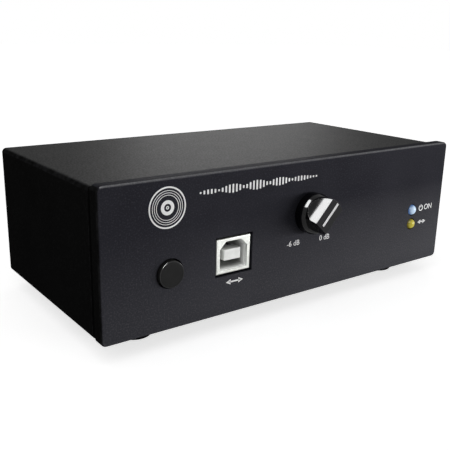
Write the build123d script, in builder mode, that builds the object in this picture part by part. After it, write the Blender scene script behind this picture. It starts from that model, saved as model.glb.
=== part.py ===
from build123d import *
import os
from math import cos, radians, sin

# Phono preamplifier: a small bench-top box that lifts a record player's signal to line level.
# A flat front panel stands proud of a folded sheet cover. Behind it, a sheet tray carries one
# circuit board with every control and connector, and four rubber feet carry the tray.
#
# Frame: +X to the right seen from the front, +Y from the front panel towards the rear, +Z up.
# The feet stand on Z = 0, and the origin is under the middle of the whole unit.
# A control's "..._height" is above the front panel's lower edge, and its "..._rise" above the
# circuit board. Its "..._from_left" or "..._from_right" is from that edge of the panel, and its
# "..._from_middle" from the middle.

# ---------------------------------------------------------------- driving dimensions (mm)

# Front panel
panel_width = 135.0
panel_height = 42.2
panel_thickness = 4.0
panel_corner_radius = 2.0
panel_edge_round = 0.5

# Case behind the panel
case_depth = 68.7
shadow_gap = 2.0
cover_side_inset = 0.4
cover_top_inset = 1.0
cover_wall = 1.0
cover_bend_radius = 1.4
cover_flange = 9.5
tray_wall = 1.2
tray_hem_depth = 9.0
tray_clearance = 0.15
rear_recess = 0.8
rear_lip_gap = 0.9
rear_flange_depth = 7.0
rear_flange_from_side = 6.95

# Feet
foot_drop = 5.2
foot_bottom_radius = 5.1
foot_top_radius = 5.8
foot_rounding = 0.8
foot_from_side = 16.5
foot_from_end = 13.4
foot_bore_radius = 3.3
foot_bore_depth = 4.2

# Screws
screw_radius = 1.45
screw_hole_radius = 1.55
screw_head_radius = 2.6
screw_head_height = 1.7
screw_recess_length = 2.6
screw_recess_width = 0.6
screw_recess_depth = 0.8
screw_tip = 2.0
panel_screw_from_side = 9.5
panel_screw_from_top = 6.2
panel_screw_over_board = 5.6
panel_screw_bite = 2.4
panel_screw_hole_spare = 0.3
cover_screw_from_side = 6.2
cover_screw_from_end = 11.0
rear_screw_from_side = 18.95
rear_screw_from_lip = 3.0

# Circuit board and its posts
board_thickness = 1.6
board_gap_front = 1.0
board_gap_rear = 0.5
board_gap_side = 3.1
post_radius = 2.75
post_from_side = 5.0
post_from_end = 6.0
board_screw_bite = 4.0

# Data socket in the panel: square upright type with a tongue
socket_from_left = 41.6
socket_height = 17.6
socket_width = 12.0
socket_tall = 10.6
socket_depth = 16.0
socket_recess = 0.3
socket_clearance = 0.35
socket_wall = 0.4
socket_mouth_width = 8.5
socket_mouth_tall = 7.8
socket_mouth_cut = 1.9
socket_cavity_depth = 9.0
socket_insert_clearance = 0.05
tongue_width = 5.6
tongue_tall = 3.2
tongue_recess = 1.3
socket_contact_width = 0.9
socket_contact_thick = 0.25
socket_contact_length = 5.5
socket_contact_spread = 1.25

# Power button and its switch
button_from_left = 20.45
button_rise = 3.95
button_radius = 3.8
button_gap = 0.45
button_proud = 0.8
button_head = 4.0
button_rounding = 0.45
button_stem_radius = 2.9
button_stem = 5.8
button_travel = 2.5
plunger_width = 3.0
plunger_play = 0.12
plunger_engage = 3.6
plunger_hole_spare = 0.5
switch_set_back = 14.0
switch_width = 8.5
switch_depth = 12.0
switch_reach = 5.0
spring_wire_radius = 0.18
spring_radius = 2.45
spring_turns = 5
spring_seat_gap = 0.1

# Level knob, its shaft and its potentiometer
knob_from_middle = 2.5
knob_height = 26.0
knob_rest_angle = 43.0
knob_gap = 0.4
knob_skirt_radius = 6.2
knob_skirt = 3.8
knob_skirt_round = 1.0
knob_grip_radius = 5.85
knob_grip_rise = 3.9
knob_grip_tail = 4.0
knob_grip_round = 0.35
knob_ridge_width = 6.0
pointer_width = 0.75
pointer_depth = 0.3
pointer_margin = 0.45
shaft_radius = 3.0
shaft_flat = 1.5
shaft_in_knob = 5.4
shaft_play = 0.05
shaft_hole_gap = 0.4
bush_radius = 3.5
bush_nose_gap = 0.3
bush_flange_radius = 5.2
bush_flange = 0.6
nut_flats = 10.0
nut_thick = 2.0
washer_radius = 5.6
washer_thick = 0.5
nut_pocket_radius = 6.3
nut_pocket_skin = 0.9
pot_radius = 8.4
pot_wall = 0.5
pot_depth = 9.5
pot_wafer = 1.5
rotor_radius = 6.4
rotor_thick = 2.0
rotor_clear = 0.5
pot_pin_width = 1.2
pot_pin_thick = 0.6
pot_pin_pitch = 5.0

# Signal lamps, one over the other
lamp_from_right = 15.9
lamp_upper_height = 19.65
lamp_lower_height = 14.63
lamp_radius = 1.75
lamp_proud = 1.1
lamp_play = 0.12
lamp_flange_radius = 2.1
lamp_flange = 1.0
lamp_lead_width = 0.5
lamp_lead_pitch = 2.54
lamp_lead_length = 4.0
lamp_holder_width = 4.4
lamp_holder_depth = 5.8
lamp_holder_margin = 2.6

# Phono jacks on the rear, in upright pairs
jack_rise = 6.4
jack_block_width = 10.6
jack_block_depth = 12.0
jack_block_over = 6.2
jack_block_gap = 0.55
jack_collar_radius = 5.0
jack_collar = 0.8
jack_panel_play = 0.2
jack_barrel_radius = 4.15
jack_barrel_bore = 3.45
jack_barrel_length = 9.0
jack_barrel_round = 0.25
jack_root_radius = 3.85
jack_root = 6.0
jack_fit = 0.05
jack_insulator_short = 0.3
jack_lip = 0.6
jack_lip_radius = 1.95
jack_contact_bore = 1.65
jack_contact_radius = 2.25
jack_contact_length = 7.5
phono_pair_from_right = 25.5
line_pair_from_right = 55.5
output_pair_from_right = 85.5

# Slide switches on the rear
cartridge_switch_from_right = 40.5
input_switch_from_right = 70.5
slide_rise = 6.0
slide_width = 13.0
slide_tall = 7.0
slide_depth = 6.0
slide_wall = 0.8
slide_travel = 3.0
slide_play = 0.15
slider_width = 6.0
slider_thick = 2.4
lever_width = 3.0
lever_tall = 2.6
lever_proud = 2.2
lever_slot_play = 0.35

# Ground post on the rear
ground_from_right = 11.5
ground_height = 28.5
stud_radius = 2.0
stud_play = 0.06
stud_head_flats = 7.0
stud_head = 3.0
stud_over = 1.5
ground_washer_radius = 4.6
ground_washer_thick = 0.8
ground_nut_radius = 5.0
ground_nut_thick = 6.5
ground_nut_round = 0.4
ground_nut_flutes = 20
ground_flute_radius = 0.45
ground_tag_width = 5.0
ground_tag_thick = 0.8

# Power inlet on the rear
inlet_from_left = 23.5
inlet_rise = 6.5
inlet_width = 9.2
inlet_tall = 11.2
inlet_depth = 14.0
inlet_collar_radius = 4.1
inlet_collar = 1.5
inlet_bore_radius = 3.0
inlet_bore_depth = 9.5
inlet_pin_radius = 1.0
inlet_pin_short = 1.0

# Parts soldered on the board, placed by shares of its width and depth from its front left corner
capacitor_radius = 4.0
capacitor_tall = 11.5
capacitor_places = [(0.073, 0.5), (0.073, 0.667), (0.227, 0.7), (0.665, 0.55), (0.746, 0.55)]
film_width = 7.2
film_depth = 4.5
film_tall = 8.5
film_places = [(0.446, 0.667), (0.527, 0.667), (0.835, 0.533), (0.835, 0.667)]
chip_width = 9.8
chip_depth = 6.4
chip_tall = 3.6
chip_stand = 0.6
chip_leg_width = 0.5
chip_leg_pitch = 2.54
chip_leg_reach = 0.9
chip_places = [(0.462, 0.4), (0.681, 0.333), (0.908, 0.367)]
converter_side = 10.0
converter_tall = 1.4
converter_place = (0.324, 0.333)
crystal_width = 10.6
crystal_depth = 4.4
crystal_tall = 3.5
crystal_place = (0.324, 0.533)
regulator_width = 10.0
regulator_depth = 4.5
regulator_tall = 9.0
regulator_stand = 4.0
regulator_tab_tall = 6.4
regulator_tab_thick = 1.3
regulator_hole_radius = 1.8
regulator_leg_width = 0.8
regulator_leg_pitch = 2.54
regulator_place = (0.195, 0.5)
resistor_radius = 1.15
resistor_length = 6.3
resistor_stand = 0.5
resistor_lead_radius = 0.3
resistor_lead_reach = 1.8
resistor_row_pitch = 4.0
resistor_count = 5
resistor_places = [(0.572, 0.233), (0.795, 0.15)]

# ---------------------------------------------------------------- worked-out sizes and places

knob_reach = knob_gap + knob_skirt + knob_grip_rise
jack_reach = jack_collar + jack_barrel_length - rear_recess
front_y = (knob_reach - case_depth - jack_reach) / 2
panel_back_y = front_y + panel_thickness
tray_inside_y = panel_back_y + tray_wall
cover_front_y = panel_back_y + shadow_gap
rear_y = front_y + case_depth
rear_face_y = rear_y - rear_recess
rear_inside_y = rear_face_y - tray_wall

panel_left_x = -panel_width / 2
panel_right_x = panel_width / 2
panel_bottom_z = foot_drop
panel_middle_z = panel_bottom_z + panel_height / 2
panel_top_z = panel_bottom_z + panel_height

cover_width = panel_width - 2 * cover_side_inset
cover_tall = panel_height - cover_top_inset
cover_bottom_z = panel_bottom_z
cover_top_z = cover_bottom_z + cover_tall
cover_depth = rear_y - cover_front_y
bend_inside_radius = cover_bend_radius - cover_wall

tray_width = cover_width - 2 * cover_wall - 2 * tray_clearance
tray_bottom_z = cover_bottom_z + cover_wall
tray_top_z = cover_top_z - cover_wall - tray_clearance
tray_tall = tray_top_z - tray_bottom_z
tray_middle_z = tray_bottom_z + tray_tall / 2
floor_top_z = tray_bottom_z + tray_wall
floor_width = tray_width - 2 * bend_inside_radius

socket_x = panel_left_x + socket_from_left
socket_z = panel_bottom_z + socket_height
socket_front_y = front_y + socket_recess
knob_x = knob_from_middle
knob_z = panel_bottom_z + knob_height
lamp_x = panel_right_x - lamp_from_right
lamp_upper_z = panel_bottom_z + lamp_upper_height
lamp_lower_z = panel_bottom_z + lamp_lower_height

board_top_z = socket_z - socket_tall / 2
board_bottom_z = board_top_z - board_thickness
rear_lip_top_z = board_bottom_z - rear_lip_gap
button_x = panel_left_x + button_from_left
button_z = board_top_z + button_rise
button_hole_radius = button_radius + button_gap
board_front_y = tray_inside_y + board_gap_front
board_rear_y = rear_inside_y - board_gap_rear
board_width = tray_width - 2 * tray_wall - 2 * board_gap_side
board_depth = board_rear_y - board_front_y
board_middle_y = (board_front_y + board_rear_y) / 2
board_left_x = -board_width / 2

shaft_tip_y = front_y - knob_gap - shaft_in_knob
shaft_hole_radius = shaft_radius + shaft_hole_gap
jack_block_top_z = tray_top_z - tray_wall - jack_block_gap
jack_lower_z = board_top_z + jack_rise
jack_upper_z = jack_block_top_z - jack_block_over
barrel_root_y = rear_face_y + jack_collar
barrel_end_y = barrel_root_y + jack_barrel_length
slide_z = board_top_z + slide_rise
ground_x = panel_right_x - ground_from_right
ground_z = panel_bottom_z + ground_height
inlet_x = panel_left_x + inlet_from_left
inlet_z = board_top_z + inlet_rise

foot_places = {
    "foot_front_left": (panel_left_x + foot_from_side, front_y + foot_from_end),
    "foot_front_right": (panel_right_x - foot_from_side, front_y + foot_from_end),
    "foot_rear_left": (panel_left_x + foot_from_side, rear_y - foot_from_end),
    "foot_rear_right": (panel_right_x - foot_from_side, rear_y - foot_from_end),
}
post_places = [
    (side * (board_width / 2 - post_from_side), y)
    for side in (-1, 1)
    for y in (board_front_y + post_from_end, board_rear_y - post_from_end)
]
cover_screw_places = [
    (side * (cover_width / 2 - cover_screw_from_side), y)
    for side in (-1, 1)
    for y in (cover_front_y + cover_screw_from_end, rear_y - cover_screw_from_end)
]
panel_screw_places = [
    (side * (panel_width / 2 - panel_screw_from_side), z)
    for side in (-1, 1)
    for z in (board_top_z + panel_screw_over_board, panel_top_z - panel_screw_from_top)
]
rear_screw_places = [
    (side * (tray_width / 2 - rear_screw_from_side), rear_lip_top_z - rear_screw_from_lip)
    for side in (-1, 1)
]
jack_pairs = {
    "phono": panel_right_x - phono_pair_from_right,
    "line": panel_right_x - line_pair_from_right,
    "output": panel_right_x - output_pair_from_right,
}
slide_switches = {
    "cartridge": panel_right_x - cartridge_switch_from_right,
    "input": panel_right_x - input_switch_from_right,
}


# ---------------------------------------------------------------- helpers

def at_depth(y):
    """The upright plane at depth y. It faces the front, so a negative extrusion runs deeper."""
    return Plane.XZ.offset(-y)


def facing_rear(x, y, z):
    """An upright plane at a point, facing the rear."""
    return Plane(origin=(x, y, z), x_dir=(-1, 0, 0), z_dir=(0, 1, 0))


def knob_plane(y):
    """The upright plane at depth y on the knob's axis, its local Y along the pointer."""
    turn = radians(knob_rest_angle)
    return Plane(origin=(knob_x, y, knob_z), x_dir=(cos(turn), 0, -sin(turn)), z_dir=(0, -1, 0))


def board_point(place):
    """A place given by shares of the board's width and depth, in the part's frame."""
    return (board_left_x + place[0] * board_width, board_front_y + place[1] * board_depth)


def pan_screw(seat, shank_length):
    """A pan-head screw: its head stands on the seat plane and its shank runs behind it."""
    with BuildPart() as screw:
        with BuildSketch(seat):
            Circle(screw_head_radius)
        extrude(amount=screw_head_height)
        with BuildSketch(seat):
            Circle(screw_radius)
        extrude(amount=-shank_length)
        with BuildSketch(seat.offset(screw_head_height)):
            Rectangle(screw_recess_length, screw_recess_width)
            Rectangle(screw_recess_width, screw_recess_length)
        extrude(amount=-screw_recess_depth, mode=Mode.SUBTRACT)
    return screw.part


def clipped_rectangle(width, tall, cut):
    """Draw a rectangle whose two upper corners are cut off."""
    Polygon(
        (-width / 2, -tall / 2),
        (width / 2, -tall / 2),
        (width / 2, tall / 2 - cut),
        (width / 2 - cut, tall / 2),
        (-width / 2 + cut, tall / 2),
        (-width / 2, tall / 2 - cut),
    )


def save(piece, name):
    """Label a finished piece and write its STEP file."""
    piece.part.label = name
    export_step(piece.part, f"parts/{name}.step")


os.makedirs("parts", exist_ok=True)

# ---------------------------------------------------------------- case

with BuildPart() as front_panel:
    with BuildSketch(at_depth(front_y)):
        with Locations((0, panel_middle_z)):
            RectangleRounded(panel_width, panel_height, panel_corner_radius)
    extrude(amount=-panel_thickness)
    fillet(front_panel.faces().sort_by(Axis.Y)[0].edges(), radius=panel_edge_round)
    with BuildSketch(at_depth(front_y)):
        with Locations((button_x, button_z)):
            Circle(button_hole_radius)
        with Locations((socket_x, socket_z)):
            Rectangle(socket_width + 2 * socket_clearance, socket_tall + 2 * socket_clearance)
        with Locations((knob_x, knob_z)):
            Circle(shaft_hole_radius)
        with Locations((lamp_x, lamp_upper_z), (lamp_x, lamp_lower_z)):
            Circle(lamp_radius + lamp_play)
    extrude(amount=-panel_thickness, mode=Mode.SUBTRACT)
    with BuildSketch(at_depth(panel_back_y)):
        with Locations((knob_x, knob_z)):
            Circle(nut_pocket_radius)
    extrude(amount=panel_thickness - nut_pocket_skin, mode=Mode.SUBTRACT)
    with BuildSketch(at_depth(panel_back_y)):
        with Locations(*panel_screw_places):
            Circle(screw_hole_radius)
    extrude(amount=panel_screw_bite + panel_screw_hole_spare, mode=Mode.SUBTRACT)
save(front_panel, "front_panel")

# A folded sheet: top, two sides and two narrow flanges turned in under the floor.
with BuildPart() as top_cover:
    with BuildSketch(at_depth(cover_front_y)):
        with Locations((0, cover_bottom_z + cover_tall / 2)):
            RectangleRounded(cover_width, cover_tall, cover_bend_radius)
            RectangleRounded(
                cover_width - 2 * cover_wall,
                cover_tall - 2 * cover_wall,
                bend_inside_radius,
                mode=Mode.SUBTRACT,
            )
        with Locations((0, cover_bottom_z)):
            Rectangle(cover_width - 2 * cover_flange, 3 * cover_wall, mode=Mode.SUBTRACT)
    extrude(amount=-cover_depth)
    with BuildSketch(Plane.XY.offset(cover_bottom_z)):
        with Locations(*cover_screw_places):
            Circle(screw_hole_radius)
    extrude(amount=cover_wall, mode=Mode.SUBTRACT)
save(top_cover, "top_cover")

# The tray: front wall with a hem all round it, floor and a low lip at the rear.
with BuildPart() as chassis_tray:
    with BuildSketch(at_depth(panel_back_y)):
        with Locations((0, tray_middle_z)):
            RectangleRounded(tray_width, tray_tall, bend_inside_radius)
    extrude(amount=-tray_wall)
    with BuildSketch(at_depth(tray_inside_y)):
        with Locations((0, tray_middle_z)):
            RectangleRounded(tray_width, tray_tall, bend_inside_radius)
            Rectangle(tray_width - 2 * tray_wall, tray_tall - 2 * tray_wall, mode=Mode.SUBTRACT)
    extrude(amount=-tray_hem_depth)
    with BuildSketch(Plane.XY.offset(tray_bottom_z)):
        with Locations((0, (panel_back_y + rear_inside_y) / 2)):
            Rectangle(floor_width, rear_inside_y - panel_back_y)
    extrude(amount=tray_wall)
    with BuildSketch(Plane.XY.offset(tray_bottom_z)):
        with Locations((0, rear_inside_y - tray_wall / 2)):
            Rectangle(floor_width, tray_wall)
    extrude(amount=rear_lip_top_z - tray_bottom_z)
    with BuildSketch(at_depth(panel_back_y)):
        with Locations((button_x, button_z)):
            Circle(button_hole_radius)
        with Locations((socket_x, socket_z)):
            Rectangle(socket_width + 2 * socket_clearance, socket_tall + 2 * socket_clearance)
        with Locations((knob_x, knob_z)):
            Circle(bush_radius + shaft_play)
        with Locations((lamp_x, lamp_upper_z), (lamp_x, lamp_lower_z)):
            Circle(lamp_flange_radius + lamp_play)
        with Locations(*panel_screw_places):
            Circle(screw_hole_radius)
    extrude(amount=-tray_wall, mode=Mode.SUBTRACT)
    with BuildSketch(Plane.XY.offset(tray_bottom_z)):
        with Locations(*cover_screw_places, *foot_places.values()):
            Circle(screw_hole_radius)
    extrude(amount=tray_wall, mode=Mode.SUBTRACT)
    with BuildSketch(at_depth(rear_inside_y)):
        with Locations(*rear_screw_places):
            Circle(screw_hole_radius)
    extrude(amount=tray_wall, mode=Mode.SUBTRACT)
save(chassis_tray, "chassis_tray")

# The rear panel: a flat plate with a flange that carries the cover's top edge.
with BuildPart() as rear_panel:
    with BuildSketch(at_depth(rear_inside_y)):
        with Locations((0, tray_middle_z)):
            RectangleRounded(tray_width, tray_tall, bend_inside_radius)
    extrude(amount=-tray_wall)
    with BuildSketch(Plane.XY.offset(tray_top_z - tray_wall)):
        with Locations((0, rear_inside_y - rear_flange_depth / 2)):
            Rectangle(tray_width - 2 * rear_flange_from_side, rear_flange_depth)
    extrude(amount=tray_wall)
    with BuildSketch(at_depth(rear_inside_y)):
        for pair_x in jack_pairs.values():
            with Locations((pair_x, jack_lower_z), (pair_x, jack_upper_z)):
                Circle(jack_collar_radius + jack_panel_play)
        for switch_x in slide_switches.values():
            with Locations((switch_x, slide_z)):
                Rectangle(
                    lever_width + slide_travel + 2 * lever_slot_play,
                    lever_tall + 2 * lever_slot_play,
                )
        with Locations((ground_x, ground_z)):
            Circle(stud_radius + stud_play)
        with Locations((inlet_x, inlet_z)):
            Circle(inlet_collar_radius + jack_panel_play)
        with Locations(*rear_screw_places):
            Circle(screw_hole_radius)
    extrude(amount=-tray_wall, mode=Mode.SUBTRACT)
save(rear_panel, "rear_panel")

# ---------------------------------------------------------------- feet

for foot_name, (foot_x, foot_y) in foot_places.items():
    with BuildPart() as foot:
        with BuildSketch(Plane.XY):
            with Locations((foot_x, foot_y)):
                Circle(foot_bottom_radius)
        with BuildSketch(Plane.XY.offset(tray_bottom_z)):
            with Locations((foot_x, foot_y)):
                Circle(foot_top_radius)
        loft()
        fillet(foot.faces().sort_by(Axis.Z)[0].edges(), radius=foot_rounding)
        with BuildSketch(Plane.XY):
            with Locations((foot_x, foot_y)):
                Circle(foot_bore_radius)
        extrude(amount=foot_bore_depth, mode=Mode.SUBTRACT)
        with BuildSketch(Plane.XY):
            with Locations((foot_x, foot_y)):
                Circle(screw_hole_radius)
        extrude(amount=tray_bottom_z, mode=Mode.SUBTRACT)
    save(foot, foot_name)

# ---------------------------------------------------------------- fasteners

with BuildPart() as foot_screws:
    for foot_x, foot_y in foot_places.values():
        seat = Plane(origin=(foot_x, foot_y, foot_bore_depth), x_dir=(1, 0, 0), z_dir=(0, 0, -1))
        add(pan_screw(seat, floor_top_z + screw_tip - foot_bore_depth))
save(foot_screws, "foot_screws")

with BuildPart() as cover_screws:
    for screw_x, screw_y in cover_screw_places:
        seat = Plane(origin=(screw_x, screw_y, cover_bottom_z), x_dir=(1, 0, 0), z_dir=(0, 0, -1))
        add(pan_screw(seat, cover_wall + tray_wall + screw_tip))
save(cover_screws, "cover_screws")

with BuildPart() as panel_screws:
    for screw_x, screw_z in panel_screw_places:
        add(pan_screw(facing_rear(screw_x, tray_inside_y, screw_z), tray_wall + panel_screw_bite))
    for screw_x, screw_z in rear_screw_places:
        add(pan_screw(facing_rear(screw_x, rear_face_y, screw_z), 2 * tray_wall + screw_tip))
save(panel_screws, "panel_screws")

with BuildPart() as board_screws:
    for post_x, post_y in post_places:
        seat = Plane(origin=(post_x, post_y, board_top_z), x_dir=(1, 0, 0), z_dir=(0, 0, 1))
        add(pan_screw(seat, board_thickness + board_screw_bite))
save(board_screws, "board_screws")

# ---------------------------------------------------------------- circuit board and posts

with BuildPart() as board_posts:
    with BuildSketch(Plane.XY.offset(floor_top_z)):
        with Locations(*post_places):
            RegularPolygon(post_radius, 6, major_radius=False)
            Circle(screw_hole_radius, mode=Mode.SUBTRACT)
    extrude(amount=board_bottom_z - floor_top_z)
save(board_posts, "board_posts")

with BuildPart() as main_board:
    with BuildSketch(Plane.XY.offset(board_bottom_z)):
        with Locations((0, board_middle_y)):
            Rectangle(board_width, board_depth)
        with Locations(*post_places):
            Circle(screw_hole_radius, mode=Mode.SUBTRACT)
    extrude(amount=board_thickness)
save(main_board, "main_board")

# ---------------------------------------------------------------- data socket

with BuildPart() as data_socket_shell:
    with BuildSketch(at_depth(socket_front_y)):
        with Locations((socket_x, socket_z)):
            Rectangle(socket_width, socket_tall)
    extrude(amount=-socket_depth)
    with BuildSketch(at_depth(socket_front_y + socket_wall)):
        with Locations((socket_x, socket_z)):
            Rectangle(socket_width - 2 * socket_wall, socket_tall - 2 * socket_wall)
    extrude(amount=-socket_depth, mode=Mode.SUBTRACT)
    with BuildSketch(at_depth(socket_front_y)):
        with Locations((socket_x, socket_z)):
            clipped_rectangle(socket_mouth_width, socket_mouth_tall, socket_mouth_cut)
    extrude(amount=-socket_wall, mode=Mode.SUBTRACT)
save(data_socket_shell, "data_socket_shell")

insert_front_y = socket_front_y + socket_wall
insert_play = 2 * (socket_wall + socket_insert_clearance)
cavity_back_y = socket_front_y + socket_cavity_depth
tongue_front_y = socket_front_y + tongue_recess

with BuildPart() as data_socket_insert:
    with BuildSketch(at_depth(insert_front_y)):
        with Locations((socket_x, socket_z)):
            Rectangle(socket_width - insert_play, socket_tall - insert_play)
    extrude(amount=-(socket_depth - socket_wall))
    with BuildSketch(at_depth(insert_front_y)):
        with Locations((socket_x, socket_z)):
            clipped_rectangle(socket_mouth_width, socket_mouth_tall, socket_mouth_cut)
    extrude(amount=-(cavity_back_y - insert_front_y), mode=Mode.SUBTRACT)
    with BuildSketch(at_depth(tongue_front_y)):
        with Locations((socket_x, socket_z)):
            Rectangle(tongue_width, tongue_tall)
    extrude(amount=-(cavity_back_y - tongue_front_y))
save(data_socket_insert, "data_socket_insert")

# Two contacts lie on the tongue's upper face and two on its lower face.
contact_offset = (tongue_tall + socket_contact_thick) / 2
with BuildPart() as data_socket_contacts:
    with BuildSketch(at_depth(cavity_back_y - socket_contact_length)):
        with Locations((socket_x, socket_z)):
            with GridLocations(2 * socket_contact_spread, 2 * contact_offset, 2, 2):
                Rectangle(socket_contact_width, socket_contact_thick)
    extrude(amount=-socket_contact_length)
save(data_socket_contacts, "data_socket_contacts")

# ---------------------------------------------------------------- power button and switch

button_front_y = front_y - button_proud
head_back_y = button_front_y + button_head
stem_back_y = head_back_y + button_stem
plunger_front_y = stem_back_y - plunger_engage
switch_front_y = front_y + switch_set_back
plunger_back_y = switch_front_y + switch_reach
plunger_hole = plunger_width + 2 * plunger_play

with BuildPart() as power_button:
    with BuildSketch(at_depth(button_front_y)):
        with Locations((button_x, button_z)):
            Circle(button_radius)
    extrude(amount=-button_head)
    fillet(power_button.faces().sort_by(Axis.Y)[0].edges(), radius=button_rounding)
    with BuildSketch(at_depth(head_back_y)):
        with Locations((button_x, button_z)):
            Circle(button_stem_radius)
    extrude(amount=-button_stem)
    with BuildSketch(at_depth(stem_back_y)):
        with Locations((button_x, button_z)):
            Rectangle(plunger_width, plunger_width)
    extrude(amount=plunger_engage, mode=Mode.SUBTRACT)
save(power_button, "power_button")

with BuildPart() as switch_plunger:
    with BuildSketch(at_depth(plunger_front_y)):
        with Locations((button_x, button_z)):
            Rectangle(plunger_width, plunger_width)
    extrude(amount=-(plunger_back_y - plunger_front_y))
save(switch_plunger, "switch_plunger")

with BuildPart() as power_switch:
    with BuildSketch(at_depth(switch_front_y)):
        with Locations((button_x, button_z)):
            Rectangle(switch_width, 2 * (button_z - board_top_z))
    extrude(amount=-switch_depth)
    with BuildSketch(at_depth(switch_front_y)):
        with Locations((button_x, button_z)):
            Rectangle(plunger_hole, plunger_hole)
    extrude(amount=-(switch_reach + button_travel + plunger_hole_spare), mode=Mode.SUBTRACT)
save(power_switch, "power_switch")

# The return spring winds round the plunger, between the button's stem and the switch.
spring_front_y = stem_back_y + spring_wire_radius + spring_seat_gap
spring_back_y = switch_front_y - spring_wire_radius - spring_seat_gap
spring_length = spring_back_y - spring_front_y

with BuildPart() as return_spring:
    with BuildLine() as coil:
        Helix(
            pitch=spring_length / spring_turns,
            height=spring_length,
            radius=spring_radius,
            center=(button_x, spring_front_y, button_z),
            direction=(0, 1, 0),
        )
    with BuildSketch(Plane(origin=coil.line @ 0, z_dir=coil.line % 0)):
        Circle(spring_wire_radius)
    sweep()
save(return_spring, "return_spring")

# ---------------------------------------------------------------- level control

skirt_back_y = front_y - knob_gap
skirt_front_y = skirt_back_y - knob_skirt
ridge_y = skirt_front_y - knob_grip_rise
pointer_length = knob_grip_radius + knob_grip_tail - 2 * pointer_margin
pointer_middle = (knob_grip_radius - knob_grip_tail) / 2


def pointer_bar():
    """Draw the pointer line's outline along the knob's ridge."""
    with Locations((0, pointer_middle)):
        Rectangle(pointer_width, pointer_length)


# The grip: a round block with a flat tail, whose two flanks slope up to a straight ridge.
turn = radians(knob_rest_angle)
tail_plane = Plane(
    origin=(knob_x - knob_grip_tail * sin(turn), skirt_front_y, knob_z - knob_grip_tail * cos(turn)),
    x_dir=(cos(turn), 0, -sin(turn)),
    z_dir=(sin(turn), 0, cos(turn)),
)
with BuildPart() as knob_grip:
    with BuildSketch(tail_plane):
        Polygon(
            (-knob_grip_radius, knob_skirt_round),
            (knob_grip_radius, knob_skirt_round),
            (knob_grip_radius, 0),
            (knob_ridge_width / 2, -knob_grip_rise),
            (-knob_ridge_width / 2, -knob_grip_rise),
            (-knob_grip_radius, 0),
            align=None,
        )
    extrude(amount=knob_grip_tail + knob_grip_radius)
    with BuildSketch(knob_plane(skirt_front_y + knob_skirt_round)):
        Circle(knob_grip_radius)
    extrude(amount=knob_skirt_round + knob_grip_rise, mode=Mode.INTERSECT)
    fillet(knob_grip.faces().sort_by(Axis.Y)[0].edges(), radius=knob_grip_round)

with BuildPart() as level_knob:
    with BuildSketch(knob_plane(skirt_back_y)):
        Circle(knob_skirt_radius)
    extrude(amount=knob_skirt)
    fillet(level_knob.faces().sort_by(Axis.Y)[0].edges(), radius=knob_skirt_round)
    add(knob_grip)
    with BuildSketch(knob_plane(ridge_y)):
        pointer_bar()
    extrude(amount=-pointer_depth, mode=Mode.SUBTRACT)
    with BuildSketch(knob_plane(skirt_back_y)):
        Circle(shaft_radius + shaft_play)
        with Locations((0, -shaft_radius - shaft_flat - shaft_play)):
            Rectangle(2 * shaft_radius, 2 * shaft_radius, mode=Mode.SUBTRACT)
    extrude(amount=shaft_in_knob + shaft_play, mode=Mode.SUBTRACT)
save(level_knob, "level_knob")

with BuildPart() as knob_pointer:
    with BuildSketch(knob_plane(ridge_y)):
        pointer_bar()
    extrude(amount=-pointer_depth)
save(knob_pointer, "knob_pointer")

# The shaft carries the wiper's rotor inside the can.
can_front_y = tray_inside_y
rotor_front_y = can_front_y + pot_wall + bush_flange + rotor_clear
bush_front_y = front_y + nut_pocket_skin + bush_nose_gap

with BuildPart() as level_shaft:
    with BuildSketch(knob_plane(shaft_tip_y)):
        Circle(shaft_radius)
    extrude(amount=-(rotor_front_y - shaft_tip_y))
    with BuildSketch(knob_plane(shaft_tip_y)):
        with Locations((0, -shaft_radius - shaft_flat)):
            Rectangle(2 * shaft_radius, 2 * shaft_radius)
    extrude(amount=-shaft_in_knob, mode=Mode.SUBTRACT)
    with BuildSketch(knob_plane(rotor_front_y)):
        Circle(rotor_radius)
    extrude(amount=-rotor_thick)
save(level_shaft, "level_shaft")

with BuildPart() as shaft_bush:
    with BuildSketch(knob_plane(bush_front_y)):
        Circle(bush_radius)
    extrude(amount=-(can_front_y + pot_wall - bush_front_y))
    with BuildSketch(knob_plane(can_front_y + pot_wall)):
        Circle(bush_flange_radius)
    extrude(amount=-bush_flange)
    with BuildSketch(knob_plane(bush_front_y)):
        Circle(shaft_radius + shaft_play)
    extrude(amount=-(can_front_y + pot_wall + bush_flange - bush_front_y), mode=Mode.SUBTRACT)
save(shaft_bush, "shaft_bush")

with BuildPart() as bush_washer:
    with BuildSketch(knob_plane(panel_back_y)):
        Circle(washer_radius)
        Circle(bush_radius + shaft_play, mode=Mode.SUBTRACT)
    extrude(amount=washer_thick)
save(bush_washer, "bush_washer")

with BuildPart() as bush_nut:
    with BuildSketch(knob_plane(panel_back_y - washer_thick)):
        RegularPolygon(nut_flats / 2, 6, major_radius=False)
        Circle(bush_radius + shaft_play, mode=Mode.SUBTRACT)
    extrude(amount=nut_thick)
save(bush_nut, "bush_nut")

with BuildPart() as control_can:
    with BuildSketch(knob_plane(can_front_y)):
        Circle(pot_radius)
    extrude(amount=-pot_depth)
    with BuildSketch(knob_plane(can_front_y + pot_wall)):
        Circle(pot_radius - pot_wall)
    extrude(amount=-pot_depth, mode=Mode.SUBTRACT)
    with BuildSketch(knob_plane(can_front_y)):
        Circle(bush_radius + shaft_play)
    extrude(amount=-pot_wall, mode=Mode.SUBTRACT)
save(control_can, "control_can")

# The wafer with the resistive track closes the can, and its three legs stand on the board.
wafer_front_y = can_front_y + pot_depth - pot_wafer

with BuildPart() as track_wafer:
    with BuildSketch(knob_plane(wafer_front_y)):
        Circle(pot_radius - pot_wall - shaft_play)
    extrude(amount=-pot_wafer)
save(track_wafer, "track_wafer")

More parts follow.
